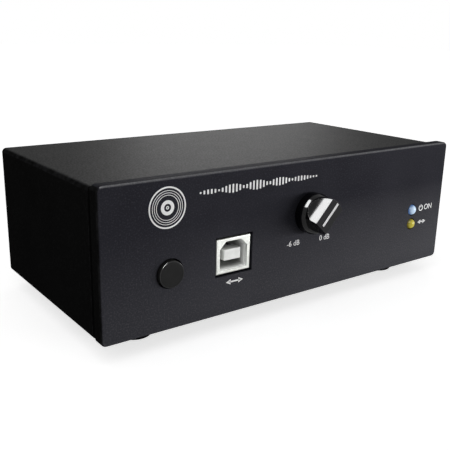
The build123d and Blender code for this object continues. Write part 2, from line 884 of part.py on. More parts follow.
leg_y = can_front_y + pot_depth
with BuildPart() as control_legs:
    with BuildSketch(Plane.XY.offset(board_top_z)):
        with Locations((knob_x, leg_y + pot_pin_thick / 2)):
            with GridLocations(pot_pin_pitch, 0, 3, 1):
                Rectangle(pot_pin_width, pot_pin_thick)
    extrude(amount=knob_z - pot_radius / 2 - board_top_z)
save(control_legs, "control_legs")

# ---------------------------------------------------------------- signal lamps

lamp_tip_y = front_y - lamp_proud
for lamp_name, lamp_z in (("power_lamp", lamp_upper_z), ("data_lamp", lamp_lower_z)):
    with BuildPart() as lamp:
        with BuildSketch(at_depth(lamp_tip_y)):
            with Locations((lamp_x, lamp_z)):
                Circle(lamp_radius)
        extrude(amount=-(panel_back_y - lamp_tip_y))
        fillet(lamp.faces().sort_by(Axis.Y)[0].edges(), radius=0.9 * lamp_radius)
        with BuildSketch(at_depth(panel_back_y)):
            with Locations((lamp_x, lamp_z)):
                Circle(lamp_flange_radius)
        extrude(amount=-lamp_flange)
        with BuildSketch(at_depth(panel_back_y + lamp_flange)):
            with Locations((lamp_x, lamp_z)):
                with GridLocations(lamp_lead_pitch, 0, 2, 1):
                    Rectangle(lamp_lead_width, lamp_lead_width)
        extrude(amount=-lamp_lead_length)
    save(lamp, lamp_name)

with BuildPart() as lamp_holder:
    with BuildSketch(Plane.XY.offset(board_top_z)):
        with Locations((lamp_x, tray_inside_y + lamp_play + lamp_holder_depth / 2)):
            Rectangle(lamp_holder_width, lamp_holder_depth)
    extrude(amount=lamp_upper_z + lamp_holder_margin - board_top_z)
    with BuildSketch(at_depth(tray_inside_y)):
        for lamp_z in (lamp_upper_z, lamp_lower_z):
            with Locations((lamp_x, lamp_z)):
                with GridLocations(lamp_lead_pitch, 0, 2, 1):
                    Rectangle(lamp_lead_width + lamp_play, lamp_lead_width + lamp_play)
    extrude(amount=-(lamp_lead_length + lamp_play), mode=Mode.SUBTRACT)
save(lamp_holder, "lamp_holder")

# ---------------------------------------------------------------- phono jacks

block_front_y = rear_inside_y - jack_block_depth
root_front_y = barrel_root_y - jack_root
insulator_end_y = barrel_end_y - jack_insulator_short
contact_end_y = insulator_end_y - jack_lip
contact_front_y = contact_end_y - jack_contact_length
jack_block_tall = jack_block_top_z - board_top_z

for pair_name, pair_x in jack_pairs.items():
    jack_points = [(pair_x, jack_lower_z), (pair_x, jack_upper_z)]
    with BuildPart() as jack_block:
        with BuildSketch(at_depth(block_front_y)):
            with Locations((pair_x, board_top_z + jack_block_tall / 2)):
                Rectangle(jack_block_width, jack_block_tall)
        extrude(amount=-jack_block_depth)
        with BuildSketch(at_depth(rear_inside_y)):
            with Locations(*jack_points):
                Circle(jack_collar_radius)
        extrude(amount=-(barrel_root_y - rear_inside_y))
        with BuildSketch(at_depth(barrel_root_y)):
            with Locations(*jack_points):
                Circle(jack_root_radius + jack_fit)
        extrude(amount=jack_root, mode=Mode.SUBTRACT)
    save(jack_block, f"jack_block_{pair_name}")

    with BuildPart() as jack_shells:
        with BuildSketch(at_depth(barrel_root_y)):
            with Locations(*jack_points):
                Circle(jack_barrel_radius)
        extrude(amount=-jack_barrel_length)
        barrel_ends = jack_shells.faces().filter_by(Plane.XZ).group_by(Axis.Y)[-1]
        fillet(barrel_ends.edges(), radius=jack_barrel_round)
        with BuildSketch(at_depth(root_front_y)):
            with Locations(*jack_points):
                Circle(jack_root_radius)
        extrude(amount=-jack_root)
        with BuildSketch(at_depth(root_front_y)):
            with Locations(*jack_points):
                Circle(jack_barrel_bore)
        extrude(amount=-(jack_root + jack_barrel_length), mode=Mode.SUBTRACT)
    save(jack_shells, f"jack_shells_{pair_name}")

for side_name, jack_z in (("left", jack_upper_z), ("right", jack_lower_z)):
    side_points = [(pair_x, jack_z) for pair_x in jack_pairs.values()]
    with BuildPart() as jack_insulators:
        with BuildSketch(at_depth(root_front_y)):
            with Locations(*side_points):
                Circle(jack_barrel_bore - jack_fit)
        extrude(amount=-(insulator_end_y - root_front_y))
        with BuildSketch(at_depth(contact_front_y)):
            with Locations(*side_points):
                Circle(jack_contact_radius + jack_fit)
        extrude(amount=-jack_contact_length, mode=Mode.SUBTRACT)
        with BuildSketch(at_depth(contact_end_y)):
            with Locations(*side_points):
                Circle(jack_lip_radius)
        extrude(amount=-jack_lip, mode=Mode.SUBTRACT)
    save(jack_insulators, f"jack_insulators_{side_name}")

with BuildPart() as jack_contacts:
    with BuildSketch(at_depth(contact_front_y)):
        for pair_x in jack_pairs.values():
            with Locations((pair_x, jack_lower_z), (pair_x, jack_upper_z)):
                Circle(jack_contact_radius)
                Circle(jack_contact_bore, mode=Mode.SUBTRACT)
    extrude(amount=-jack_contact_length)
save(jack_contacts, "jack_contacts")

# ---------------------------------------------------------------- rear slide switches

slide_front_y = rear_inside_y - slide_depth
slider_space = slider_thick + slide_play
slider_back_y = rear_inside_y - slide_wall - slide_play / 2
lever_start = -slide_travel / 2

for switch_name, switch_x in slide_switches.items():
    with BuildPart() as slide_body:
        with BuildSketch(at_depth(slide_front_y)):
            with Locations((switch_x, slide_z)):
                Rectangle(slide_width, slide_tall)
        extrude(amount=-slide_depth)
        with BuildSketch(at_depth(rear_inside_y - slide_wall)):
            with Locations((switch_x, slide_z)):
                Rectangle(slider_width + slide_travel + 2 * slide_play, slide_tall - 2 * slide_wall)
        extrude(amount=slider_space, mode=Mode.SUBTRACT)
        with BuildSketch(at_depth(rear_inside_y)):
            with Locations((switch_x, slide_z)):
                Rectangle(
                    lever_width + slide_travel + 2 * lever_slot_play,
                    lever_tall + 2 * lever_slot_play,
                )
        extrude(amount=slide_wall, mode=Mode.SUBTRACT)
    save(slide_body, f"{switch_name}_switch")

    with BuildPart() as slide_lever:
        with BuildSketch(at_depth(slider_back_y)):
            with Locations((switch_x + lever_start, slide_z)):
                Rectangle(slider_width, slide_tall - 2 * slide_wall - 2 * slide_play)
        extrude(amount=slider_thick)
        with BuildSketch(at_depth(slider_back_y)):
            with Locations((switch_x + lever_start, slide_z)):
                Rectangle(lever_width, lever_tall)
        extrude(amount=-(rear_face_y + lever_proud - slider_back_y))
    save(slide_lever, f"{switch_name}_lever")

with BuildPart() as slide_switch_legs:
    for switch_x in slide_switches.values():
        with BuildSketch(Plane.XY.offset(board_top_z)):
            with Locations((switch_x, slide_front_y + slide_depth / 2)):
                with GridLocations(slide_width / 4, 0, 3, 1):
                    Rectangle(chip_leg_width, chip_leg_width)
        extrude(amount=slide_z - slide_tall / 2 - board_top_z)
save(slide_switch_legs, "slide_switch_legs")

# ---------------------------------------------------------------- ground post

stud_end_y = rear_face_y + ground_washer_thick + ground_nut_thick + stud_over

with BuildPart() as ground_post:
    with BuildSketch(facing_rear(ground_x, rear_inside_y - ground_tag_thick, ground_z)):
        Circle(stud_radius)
    extrude(amount=stud_end_y - rear_inside_y + ground_tag_thick)
    with BuildSketch(facing_rear(ground_x, rear_inside_y - ground_tag_thick, ground_z)):
        RegularPolygon(stud_head_flats / 2, 6, major_radius=False)
    extrude(amount=-stud_head)
save(ground_post, "ground_post")

# The tag joins the stud to the board's ground, flat against the rear panel.
tag_top_z = ground_z + ground_tag_width / 2
with BuildPart() as ground_tag:
    with BuildSketch(facing_rear(ground_x, rear_inside_y - ground_tag_thick, 0)):
        with Locations((0, (tag_top_z + board_top_z) / 2)):
            Rectangle(ground_tag_width, tag_top_z - board_top_z)
        with Locations((0, ground_z)):
            Circle(stud_radius + stud_play, mode=Mode.SUBTRACT)
    extrude(amount=ground_tag_thick)
save(ground_tag, "ground_tag")

with BuildPart() as ground_washer:
    with BuildSketch(facing_rear(ground_x, rear_face_y, ground_z)):
        Circle(ground_washer_radius)
        Circle(stud_radius + stud_play, mode=Mode.SUBTRACT)
    extrude(amount=ground_washer_thick)
save(ground_washer, "ground_washer")

nut_seat_y = rear_face_y + ground_washer_thick
with BuildPart() as ground_nut:
    with BuildSketch(facing_rear(ground_x, nut_seat_y, ground_z)):
        Circle(ground_nut_radius)
    extrude(amount=ground_nut_thick)
    fillet(ground_nut.faces().sort_by(Axis.Y)[-1].edges(), radius=ground_nut_round)
    with BuildSketch(facing_rear(ground_x, nut_seat_y, ground_z)):
        with PolarLocations(ground_nut_radius, ground_nut_flutes):
            Circle(ground_flute_radius)
        Circle(stud_radius + stud_play)
    extrude(amount=ground_nut_thick, mode=Mode.SUBTRACT)
save(ground_nut, "ground_nut")

# ---------------------------------------------------------------- power inlet

inlet_front_y = rear_inside_y - inlet_depth
inlet_mouth_y = rear_inside_y + inlet_collar
inlet_floor_y = inlet_mouth_y - inlet_bore_depth

with BuildPart() as power_inlet:
    with BuildSketch(at_depth(inlet_front_y)):
        with Locations((inlet_x, board_top_z + inlet_tall / 2)):
            Rectangle(inlet_width, inlet_tall)
    extrude(amount=-inlet_depth)
    with BuildSketch(at_depth(rear_inside_y)):
        with Locations((inlet_x, inlet_z)):
            Circle(inlet_collar_radius)
    extrude(amount=-inlet_collar)
    with BuildSketch(at_depth(inlet_mouth_y)):
        with Locations((inlet_x, inlet_z)):
            Circle(inlet_bore_radius)
    extrude(amount=inlet_bore_depth, mode=Mode.SUBTRACT)
save(power_inlet, "power_inlet")

with BuildPart() as inlet_pin:
    with BuildSketch(at_depth(inlet_floor_y)):
        with Locations((inlet_x, inlet_z)):
            Circle(inlet_pin_radius)
    extrude(amount=-(inlet_bore_depth - inlet_pin_short))
    fillet(inlet_pin.faces().sort_by(Axis.Y)[-1].edges(), radius=0.5 * inlet_pin_radius)
save(inlet_pin, "inlet_pin")

# ---------------------------------------------------------------- parts on the board

with BuildPart() as electrolytic_capacitors:
    with BuildSketch(Plane.XY.offset(board_top_z)):
        with Locations(*[board_point(place) for place in capacitor_places]):
            Circle(capacitor_radius)
    extrude(amount=capacitor_tall)
    fillet(electrolytic_capacitors.faces().group_by(Axis.Z)[-1].edges(), radius=0.15 * capacitor_radius)
save(electrolytic_capacitors, "electrolytic_capacitors")

with BuildPart() as film_capacitors:
    with BuildSketch(Plane.XY.offset(board_top_z)):
        with Locations(*[board_point(place) for place in film_places]):
            Rectangle(film_width, film_depth)
    extrude(amount=film_tall)
save(film_capacitors, "film_capacitors")

# Each amplifier chip stands on two rows of legs.
with BuildPart() as amplifier_chips:
    with BuildSketch(Plane.XY.offset(board_top_z + chip_stand)):
        with Locations(*[board_point(place) for place in chip_places]):
            Rectangle(chip_width, chip_depth)
    extrude(amount=chip_tall)
    with BuildSketch(Plane.XY.offset(board_top_z)):
        with Locations(*[board_point(place) for place in chip_places]):
            with GridLocations(chip_leg_pitch, chip_depth + chip_leg_width, 4, 2):
                Rectangle(chip_leg_width, chip_leg_reach)
    extrude(amount=chip_stand + chip_tall / 2)
save(amplifier_chips, "amplifier_chips")

with BuildPart() as converter_chip:
    with BuildSketch(Plane.XY.offset(board_top_z)):
        with Locations(board_point(converter_place)):
            Rectangle(converter_side, converter_side)
    extrude(amount=converter_tall)
save(converter_chip, "converter_chip")

with BuildPart() as clock_crystal:
    with BuildSketch(Plane.XY.offset(board_top_z)):
        with Locations(board_point(crystal_place)):
            SlotOverall(crystal_width, crystal_depth)
    extrude(amount=crystal_tall)
save(clock_crystal, "clock_crystal")

regulator_x, regulator_y = board_point(regulator_place)
regulator_top_z = board_top_z + regulator_stand + regulator_tall
tab_y = regulator_y + (regulator_depth - regulator_tab_thick) / 2
with BuildPart() as voltage_regulator:
    with BuildSketch(Plane.XY.offset(board_top_z + regulator_stand)):
        with Locations((regulator_x, regulator_y)):
            Rectangle(regulator_width, regulator_depth)
    extrude(amount=regulator_tall)
    with BuildSketch(Plane.XY.offset(regulator_top_z)):
        with Locations((regulator_x, tab_y)):
            Rectangle(regulator_width, regulator_tab_thick)
    extrude(amount=regulator_tab_tall)
    with BuildSketch(at_depth(tab_y + regulator_tab_thick / 2)):
        with Locations((regulator_x, regulator_top_z + regulator_tab_tall / 2)):
            Circle(regulator_hole_radius)
    extrude(amount=regulator_tab_thick, mode=Mode.SUBTRACT)
    with BuildSketch(Plane.XY.offset(board_top_z)):
        with Locations((regulator_x, regulator_y)):
            with GridLocations(regulator_leg_pitch, 0, 3, 1):
                Rectangle(regulator_leg_width, regulator_leg_width)
    extrude(amount=regulator_stand)
save(voltage_regulator, "voltage_regulator")

# Each resistor lies just over the board on two bent leads.
resistor_z = board_top_z + resistor_stand + resistor_radius
with BuildPart() as resistors:
    for place in resistor_places:
        row_x, row_y = board_point(place)
        for index in range(resistor_count):
            y = row_y + index * resistor_row_pitch
            with BuildSketch(Plane.YZ.offset(row_x - resistor_length / 2)):
                with Locations((y, resistor_z)):
                    Circle(resistor_radius)
            extrude(amount=resistor_length)
            for side in (-1, 1):
                lead_x = row_x + side * (resistor_length / 2 + resistor_lead_reach)
                with BuildSketch(Plane.YZ.offset(lead_x)):
                    with Locations((y, resistor_z)):
                        Circle(resistor_lead_radius)
                extrude(amount=-side * resistor_lead_reach)
                with BuildSketch(Plane.XY.offset(board_top_z)):
                    with Locations((lead_x, y)):
                        Circle(resistor_lead_radius)
                extrude(amount=resistor_z - board_top_z)
save(resistors, "resistors")
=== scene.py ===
# %% [markdown]
# # Dressing a small phono preamplifier
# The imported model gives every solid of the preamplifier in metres: X to the right seen from the
# front, Y from the front panel to the rear, Z up from the table. This lesson gives it its finish:
# the painted sheet metal, the glossy knob, the plated socket, the printed marks and the light.

# %% Load the model
import math
import bmesh
import bpy
from mathutils import Matrix, Vector


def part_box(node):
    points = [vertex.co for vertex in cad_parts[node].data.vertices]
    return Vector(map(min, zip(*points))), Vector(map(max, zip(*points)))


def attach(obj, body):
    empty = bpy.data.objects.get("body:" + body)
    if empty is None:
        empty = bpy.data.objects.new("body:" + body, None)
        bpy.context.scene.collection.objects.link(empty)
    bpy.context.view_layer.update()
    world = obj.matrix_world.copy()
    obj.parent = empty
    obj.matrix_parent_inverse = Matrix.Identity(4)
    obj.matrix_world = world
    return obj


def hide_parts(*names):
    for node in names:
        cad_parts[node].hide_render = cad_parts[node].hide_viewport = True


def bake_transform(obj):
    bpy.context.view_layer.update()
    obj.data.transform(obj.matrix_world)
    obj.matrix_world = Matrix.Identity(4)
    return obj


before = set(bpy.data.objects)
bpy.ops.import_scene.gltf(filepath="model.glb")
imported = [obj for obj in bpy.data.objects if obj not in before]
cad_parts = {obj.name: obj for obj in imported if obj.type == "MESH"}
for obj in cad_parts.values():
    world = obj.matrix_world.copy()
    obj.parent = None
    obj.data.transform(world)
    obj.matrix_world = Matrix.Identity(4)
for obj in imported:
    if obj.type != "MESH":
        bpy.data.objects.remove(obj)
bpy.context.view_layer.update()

mm = 0.001


# %% Reading places from the model
def box_of(node_name):
    """A node's two corners in mm."""
    return [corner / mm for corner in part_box(node_name)]


def middle_of(node_name):
    """The x and z of a node's middle in mm, to the nearest hundredth."""
    low, high = box_of(node_name)
    return round((low.x + high.x) / 2, 2), round((low.z + high.z) / 2, 2)


def depths_of(node_name):
    """The y of a node's front and back in mm, to the nearest hundredth."""
    return [round(corner.y, 2) for corner in box_of(node_name)]


# %% [markdown]
# ## Camera
# A small box is drawn in strong perspective from close by. The camera looks at the front from the
# left and from a little above, and its place and turn are written in the model's own millimetres.

# %% Camera
camera_place = Vector((-133.82, -175.70, 83.57)) * mm
camera_yaw, camera_pitch, camera_roll = math.radians(36.552), math.radians(16.353), math.radians(1.193)
look = Vector((math.sin(camera_yaw) * math.cos(camera_pitch),
               math.cos(camera_yaw) * math.cos(camera_pitch), -math.sin(camera_pitch)))
level_right = look.cross(Vector((0, 0, 1))).normalized()
level_up = level_right.cross(look)
camera_right = math.cos(camera_roll) * level_right + math.sin(camera_roll) * level_up
camera_up = math.cos(camera_roll) * level_up - math.sin(camera_roll) * level_right
bpy.ops.object.camera_add()
camera = bpy.context.object
camera.name = "camera"
camera.matrix_world = (Matrix.Translation(camera_place)
                       @ Matrix((camera_right, camera_up, -look)).transposed().to_4x4())
camera.data.lens = 53.09
camera.data.sensor_width = 36
camera.data.clip_start = 0.005
bpy.context.scene.camera = camera
print("camera looks along", tuple(round(c, 3) for c in look))

# %% [markdown]
# ## Helpers for modelling
# Blender's operators act on whatever is selected, so each helper clears the selection first. Faces
# and edges are then picked by a test of their place, which keeps every step readable. A finished
# piece has its place in its mesh, so that its object stands at the origin as the model's nodes do.

# %% Selecting
def only(piece):
    """Leave one piece selected and active."""
    bpy.ops.object.select_all(action="DESELECT")
    piece.select_set(True)
    bpy.context.view_layer.objects.active = piece


def pick(piece, kind, test):
    """Enter edit mode and select faces by their middle and normal, or edges by their two ends, in mm."""
    only(piece)
    bpy.ops.object.mode_set(mode="EDIT")
    bpy.ops.mesh.select_mode(type=kind)
    bpy.ops.mesh.select_all(action="DESELECT")
    mesh = bmesh.from_edit_mesh(piece.data)
    found = 0
    if kind == "FACE":
        for face in mesh.faces:
            if test(face.calc_center_median() / mm, face.normal):
                face.select_set(True)
                found += 1
    else:
        for edge in mesh.edges:
            ends = [corner.co / mm for corner in edge.verts]
            if test(*ends):
                edge.select_set(True)
                found += 1
    mesh.select_flush_mode()
    bmesh.update_edit_mesh(piece.data)
    return found


def leave_edit():
    """Go back from the mesh to the whole piece."""
    bpy.ops.object.mode_set(mode="OBJECT")


# %% Starting shapes
def apply_place(piece):
    """Put a piece's place and turn into its mesh."""
    only(piece)
    bpy.ops.object.transform_apply(location=True, rotation=True, scale=True)


def named(name):
    """Name the new primitive and put its place into its mesh."""
    piece = bpy.context.object
    piece.name = piece.data.name = name
    apply_place(piece)
    return piece


def block(name, low, high):
    """A cube stretched between two corners in mm."""
    low, high = Vector(low) * mm, Vector(high) * mm
    bpy.ops.object.select_all(action="DESELECT")
    bpy.ops.mesh.primitive_cube_add(size=1, location=(low + high) / 2, scale=high - low)
    return named(name)


def rod(name, x, z, radius, front, back, sides=96):
    """A cylinder along Y between two depths in mm."""
    bpy.ops.object.select_all(action="DESELECT")
    bpy.ops.mesh.primitive_cylinder_add(
        vertices=sides, radius=radius * mm, depth=(back - front) * mm,
        location=(x * mm, (front + back) / 2 * mm, z * mm), rotation=(math.radians(90), 0, 0))
    return named(name)


# %% Shaping in edit mode
def bevel_picked(radius, steps, clamp=False):
    """Round the picked edges and leave edit mode."""
    bpy.ops.mesh.bevel(offset=radius * mm, segments=steps, affect="EDGES", clamp_overlap=clamp)
    leave_edit()


def round_edges(piece, test, radius, steps):
    """Bevel the edges whose two ends pass the test."""
    found = pick(piece, "EDGE", lambda a, b: test(a) and test(b))
    bevel_picked(radius, steps, clamp=True)
    return found


def round_corners(piece, radius, steps, longer_than=0.001):
    """Bevel the edges that run from front to back for more than a length in mm."""
    pick(piece, "EDGE", lambda a, b: abs(a.y - b.y) > longer_than)
    bevel_picked(radius, steps)


def draw_out(depth):
    """Extrude the picked faces along Y, by a depth in mm, and keep them picked."""
    bpy.ops.mesh.extrude_region_move(TRANSFORM_OT_translate={"value": (0, depth * mm, 0)})


def squeeze(share_x, share_z, *place):
    """Scale the picked faces in width and height about a place in mm."""
    bpy.ops.transform.resize(value=(share_x, 1, share_z), center_override=[part * mm for part in place])


# %% Shaping with modifiers
def apply_modifier(piece, kind, **settings):
    """Add a modifier, set it up and apply it."""
    only(piece)
    modifier = piece.modifiers.new(kind.lower(), kind)
    for key, value in settings.items():
        setattr(modifier, key, value)
    bpy.ops.object.modifier_apply(modifier=modifier.name)


def combine(piece, tool, operation="DIFFERENCE"):
    """Cut a piece with a tool, or join the two, and throw the tool away."""
    apply_modifier(piece, "BOOLEAN", operation=operation, object=tool, solver="EXACT")
    bpy.data.objects.remove(tool)


def soften(piece, width, steps=2, angle=40):
    """Break every sharp edge with a small bevel."""
    apply_modifier(piece, "BEVEL", width=width * mm, segments=steps, limit_method="ANGLE",
                   angle_limit=math.radians(angle), use_clamp_overlap=True)


# %% Finishing a piece
def mark_rims(piece):
    """Give every face a value: 1 on the narrow faces of rounded edges, 0 on flat walls."""
    rim = piece.data.attributes.new("rim", "FLOAT", "FACE")
    count = 0
    for face in piece.data.polygons:
        flat = max(abs(part) for part in face.normal) > 0.995
        rim.data[face.index].value = 0.0 if flat else 1.0
        count += not flat
    return count


def finish(piece, angle=32):
    """Point the faces outwards, shade smoothly and report the piece."""
    only(piece)
    bpy.ops.object.mode_set(mode="EDIT")
    bpy.ops.mesh.select_all(action="SELECT")
    bpy.ops.mesh.remove_doubles(threshold=0.000001)
    bpy.ops.mesh.normals_make_consistent(inside=False)
    leave_edit()
    bpy.ops.object.shade_smooth_by_angle(angle=math.radians(angle))
    apply_modifier(piece, "WEIGHTED_NORMAL", keep_sharp=True)
    print(piece.name, "faces", len(piece.data.polygons), "rim faces", mark_rims(piece))


# %% [markdown]
# ## Front panel
# On the real unit this is a thick plate with rounded corners and a soft front edge, pierced for the
# button, the socket, the shaft and two lamps. A cube is stretched to its size, its corners and front
# edge are bevelled in edit mode, and the openings are cut with Boolean modifiers, which keep the flat
# face flat. A last fine bevel lets the edge of each opening catch the light.

# %% Front panel plate
panel_low, panel_high = box_of("front_panel")
panel_corner, front_edge, back_edge = 1.6, 0.7, 0.25
near = 0.01  # what lies this close to a plane lies in it
panel_plate = block("panel_plate", panel_low, panel_high)
round_corners(panel_plate, panel_corner, 10)
front_count = round_edges(panel_plate, lambda p: p.y < panel_low.y + near, front_edge, 7)
back_count = round_edges(panel_plate, lambda p: p.y > panel_high.y - near, back_edge, 2)
print("panel edges rounded in front", front_count, "at the back", back_count)

# %% Places on the front
button_x, button_z = middle_of("power_button")
socket_x, socket_z = middle_of("data_socket_shell")
knob_x, knob_z = middle_of("level_shaft")
lamp_x, upper_lamp_z = middle_of("power_lamp")
lower_lamp_z = middle_of("data_lamp")[1]
print("button", button_x, button_z, "socket", socket_x, socket_z, "knob", knob_x, knob_z)

# %% Openings in the panel
over = 2
through = (panel_low.y - over, panel_high.y + over)
button_hole, shaft_hole, lamp_hole = 4.25, 3.4, 2.05
hole_left, hole_right, hole_below, hole_above = 6.45, 6.5, 5.8, 5.85
bush_hollow, bush_wall = 6.3, 0.9
screw_hole, screw_deep = 1.55, 2.7
combine(panel_plate, rod("tool", button_x, button_z, button_hole, *through, sides=128))
combine(panel_plate, block("tool", (socket_x - hole_left, through[0], socket_z - hole_below),
                           (socket_x + hole_right, through[1], socket_z + hole_above)))
combine(panel_plate, rod("tool", knob_x, knob_z, shaft_hole, *through, sides=64))
combine(panel_plate, rod("tool", knob_x, knob_z, bush_hollow, panel_low.y + bush_wall, through[1]))
for lamp_z in (upper_lamp_z, lower_lamp_z):
    combine(panel_plate, rod("tool", lamp_x, lamp_z, lamp_hole, *through, sides=64))
for screw_x in (-58, 58):
    for screw_z in (23.1, 41.2):
        combine(panel_plate, rod("tool", screw_x, screw_z, screw_hole, panel_high.y - screw_deep,
                                 through[1], sides=32))
soften(panel_plate, 0.1, angle=50)
finish(panel_plate)

# %% [markdown]
# ## Cover
# The real cover is one sheet, folded round the top and sides and turned in under the floor. A block
# is bevelled along its four long edges, its two ends and the middle of its underside are deleted,
# and Solidify gives the sheet its thickness inwards.

# %% Cover sheet
cover_low, cover_high = box_of("top_cover")
cover_bend, cover_wall, turned_in = 1.4, 1.0, 9.5
fold_x = cover_high.x - turned_in
cover_sheet = block("cover_sheet", cover_low, cover_high)
round_corners(cover_sheet, cover_bend, 10)
for side in (-1, 1):
    pick(cover_sheet, "FACE", lambda middle, normal: True)
    bpy.ops.mesh.bisect(plane_co=(fold_x * side * mm, 0, 0), plane_no=(1, 0, 0))
    leave_edit()
pick(cover_sheet, "FACE",
     lambda middle, normal: abs(normal.y) > 0.9 or (normal.z < -0.9 and abs(middle.x) < fold_x))
bpy.ops.mesh.delete(type="FACE")
leave_edit()
apply_modifier(cover_sheet, "SOLIDIFY", thickness=cover_wall * mm, offset=-1, use_even_offset=True)

# %% Screw holes under the cover
for screw_x in (-60.9, 60.9):
    for screw_y in (-17.8, 22.9):
        bpy.ops.object.select_all(action="DESELECT")
        bpy.ops.mesh.primitive_cylinder_add(vertices=32, radius=screw_hole * mm, depth=4 * cover_wall * mm,
                                            location=(screw_x * mm, screw_y * mm, cover_low.z * mm))
        combine(cover_sheet, named("tool"))
soften(cover_sheet, 0.15, angle=60)
finish(cover_sheet)

# %% [markdown]
# ## Level knob
# The knob is a round skirt with a grip on it. The grip is a round block with a flat tail, and its two
# flanks are ground away to a straight ridge. Real flanks are hollowed a little, which is what turns a
# lamp's reflection into one clean band along them. The grip is built upright, its flanks are
# subdivided and pressed in, and then it is turned to its setting.

# %% Knob skirt
ridge_front, skirt_back = depths_of("level_knob")
skirt_front = -39.0
skirt_radius, taper_deep, taper_in = 6.3, 1.1, 0.65
taper_back = skirt_front + taper_deep
knob_body = rod("knob_body", knob_x, knob_z, skirt_radius, taper_back, skirt_back, sides=160)
pick(knob_body, "FACE", lambda middle, normal: normal.y < -0.9)
draw_out(-taper_deep)
narrower = (skirt_radius - taper_in) / skirt_radius
squeeze(narrower, narrower, knob_x, skirt_front, knob_z)
leave_edit()
skirt_edge, skirt_foot = 0.25, 0.15
round_edges(knob_body, lambda p: p.y < skirt_front + near, skirt_edge, 4)
round_edges(knob_body, lambda p: abs(p.y - taper_back) < near, skirt_edge, 4)
round_edges(knob_body, lambda p: p.y > skirt_back - near, skirt_foot, 2)
print("skirt faces", len(knob_body.data.polygons))

# %% Knob grip
grip_tail, grip_radius, ridge_half, grip_root = 4.0, 5.6, 2.9, 1.0
grip = block("grip", (knob_x - grip_radius, ridge_front, knob_z - grip_tail),
             (knob_x + grip_radius, skirt_front, knob_z + grip_radius + 0.5))
pick(grip, "FACE", lambda middle, normal: normal.y < -0.9)
squeeze(ridge_half / grip_radius, 1, knob_x, ridge_front, knob_z)
leave_edit()
pick(grip, "EDGE", lambda a, b: abs(a.y - b.y) > 1)
bpy.ops.mesh.subdivide(number_cuts=9)
leave_edit()
hollow = 0.24
slope_inward = Vector((0.793, 0.61))
for corner in grip.data.vertices:
    share = (corner.co.y / mm - ridge_front) / (skirt_front - ridge_front)
    press = hollow * 4 * share * (1 - share) * mm
    side = math.copysign(1, corner.co.x - knob_x * mm)
    corner.co.x -= side * press * slope_inward.x
    corner.co.y += press * slope_inward.y
pick(grip, "FACE", lambda middle, normal: normal.y > 0.9)
draw_out(grip_root)
leave_edit()
combine(grip, rod("tool", knob_x, knob_z, grip_radius, ridge_front - 1, skirt_front + grip_root, sides=160),
        "INTERSECT")
soften(grip, 0.3, steps=4, angle=25)
print("grip faces", len(grip.data.polygons))

# %% Join the knob, and cut its line and its bore
pointer_low, pointer_high, pointer_half = -3.0, 5.3, 0.43
line_deep, line_proud = 0.3, 0.01
bore_radius, bore_deep = 3.05, 5.45
combine(knob_body, grip, "UNION")
line_left, line_right = knob_x - pointer_half, knob_x + pointer_half
line_foot, line_head = knob_z + pointer_low, knob_z + pointer_high
combine(knob_body, block("tool", (line_left, ridge_front - 1, line_foot),
                         (line_right, ridge_front + line_deep, line_head)))
combine(knob_body, rod("tool", knob_x, knob_z, bore_radius, skirt_back - bore_deep, skirt_back + 1, sides=48))
knob_line = block("knob_line", (line_left, ridge_front - line_proud, line_foot),
                  (line_right, ridge_front + line_deep, line_head))
soften(knob_line, 0.06)

# %% Turn the knob to its setting
knob_setting = 43.0
shaft_line = Matrix.Translation(Vector((knob_x, 0, knob_z)) * mm)
turned = shaft_line @ Matrix.Rotation(math.radians(knob_setting), 4, "Y") @ shaft_line.inverted()
for piece in (knob_body, knob_line):
    piece.matrix_world = turned
    apply_place(piece)
    finish(piece, 28)

# %% [markdown]
# ## Power button
# A turned cap with a softly rounded edge on a thinner stem. Its face is inset and pressed in by a few
# hundredths of a millimetre, so that the edge stands a little proud, as on a moulded cap.

# %% Button cap
cap_front, cap_back, stem_back = -35.9, -31.6, depths_of("power_button")[1]
cap_radius, cap_edge, stem_in = 3.8, 0.35, 0.9
button_cap = rod("button_cap", button_x, button_z, cap_radius, cap_front, cap_back, sides=128)
pick(button_cap, "FACE", lambda middle, normal: normal.y > 0.9)
bpy.ops.mesh.inset(thickness=stem_in * mm)
draw_out(stem_back - cap_back)
leave_edit()
round_edges(button_cap, lambda p: p.y < cap_front + near, cap_edge, 6)
face_in, face_sunk = 0.35, 0.02
pick(button_cap, "FACE", lambda middle, normal: normal.y < -0.99)
bpy.ops.mesh.inset(thickness=face_in * mm)
bpy.ops.transform.translate(value=(0, face_sunk * mm, 0))
leave_edit()
soften(button_cap, 0.1, angle=60)
finish(button_cap)

# %% [markdown]
# ## Data socket
# A plated can is folded from thin sheet, so its front edges are rounded and its opening has thin
# walls. Inside stands a moulded insert: a lip that leads the plug in, a deep cavity with two cut
# corners, and a tongue that carries the contacts.

# %% Opening for a plug
mouth_wide, mouth_tall, mouth_cut = 9.5, 8.5, 2.1
cavity_wide, cavity_tall, cavity_cut = 8.5, 7.8, 1.9


def opening(width, tall, cut, front, back):
    """A tool with its two upper corners cut off, as the plug has them."""
    shape = block("tool", (socket_x - width / 2, front, socket_z - tall / 2),
                  (socket_x + width / 2, back, socket_z + tall / 2))
    pick(shape, "EDGE", lambda a, b: abs(a.y - b.y) > near and min(a.z, b.z) > socket_z)
    bevel_picked(cut, 1)
    return shape


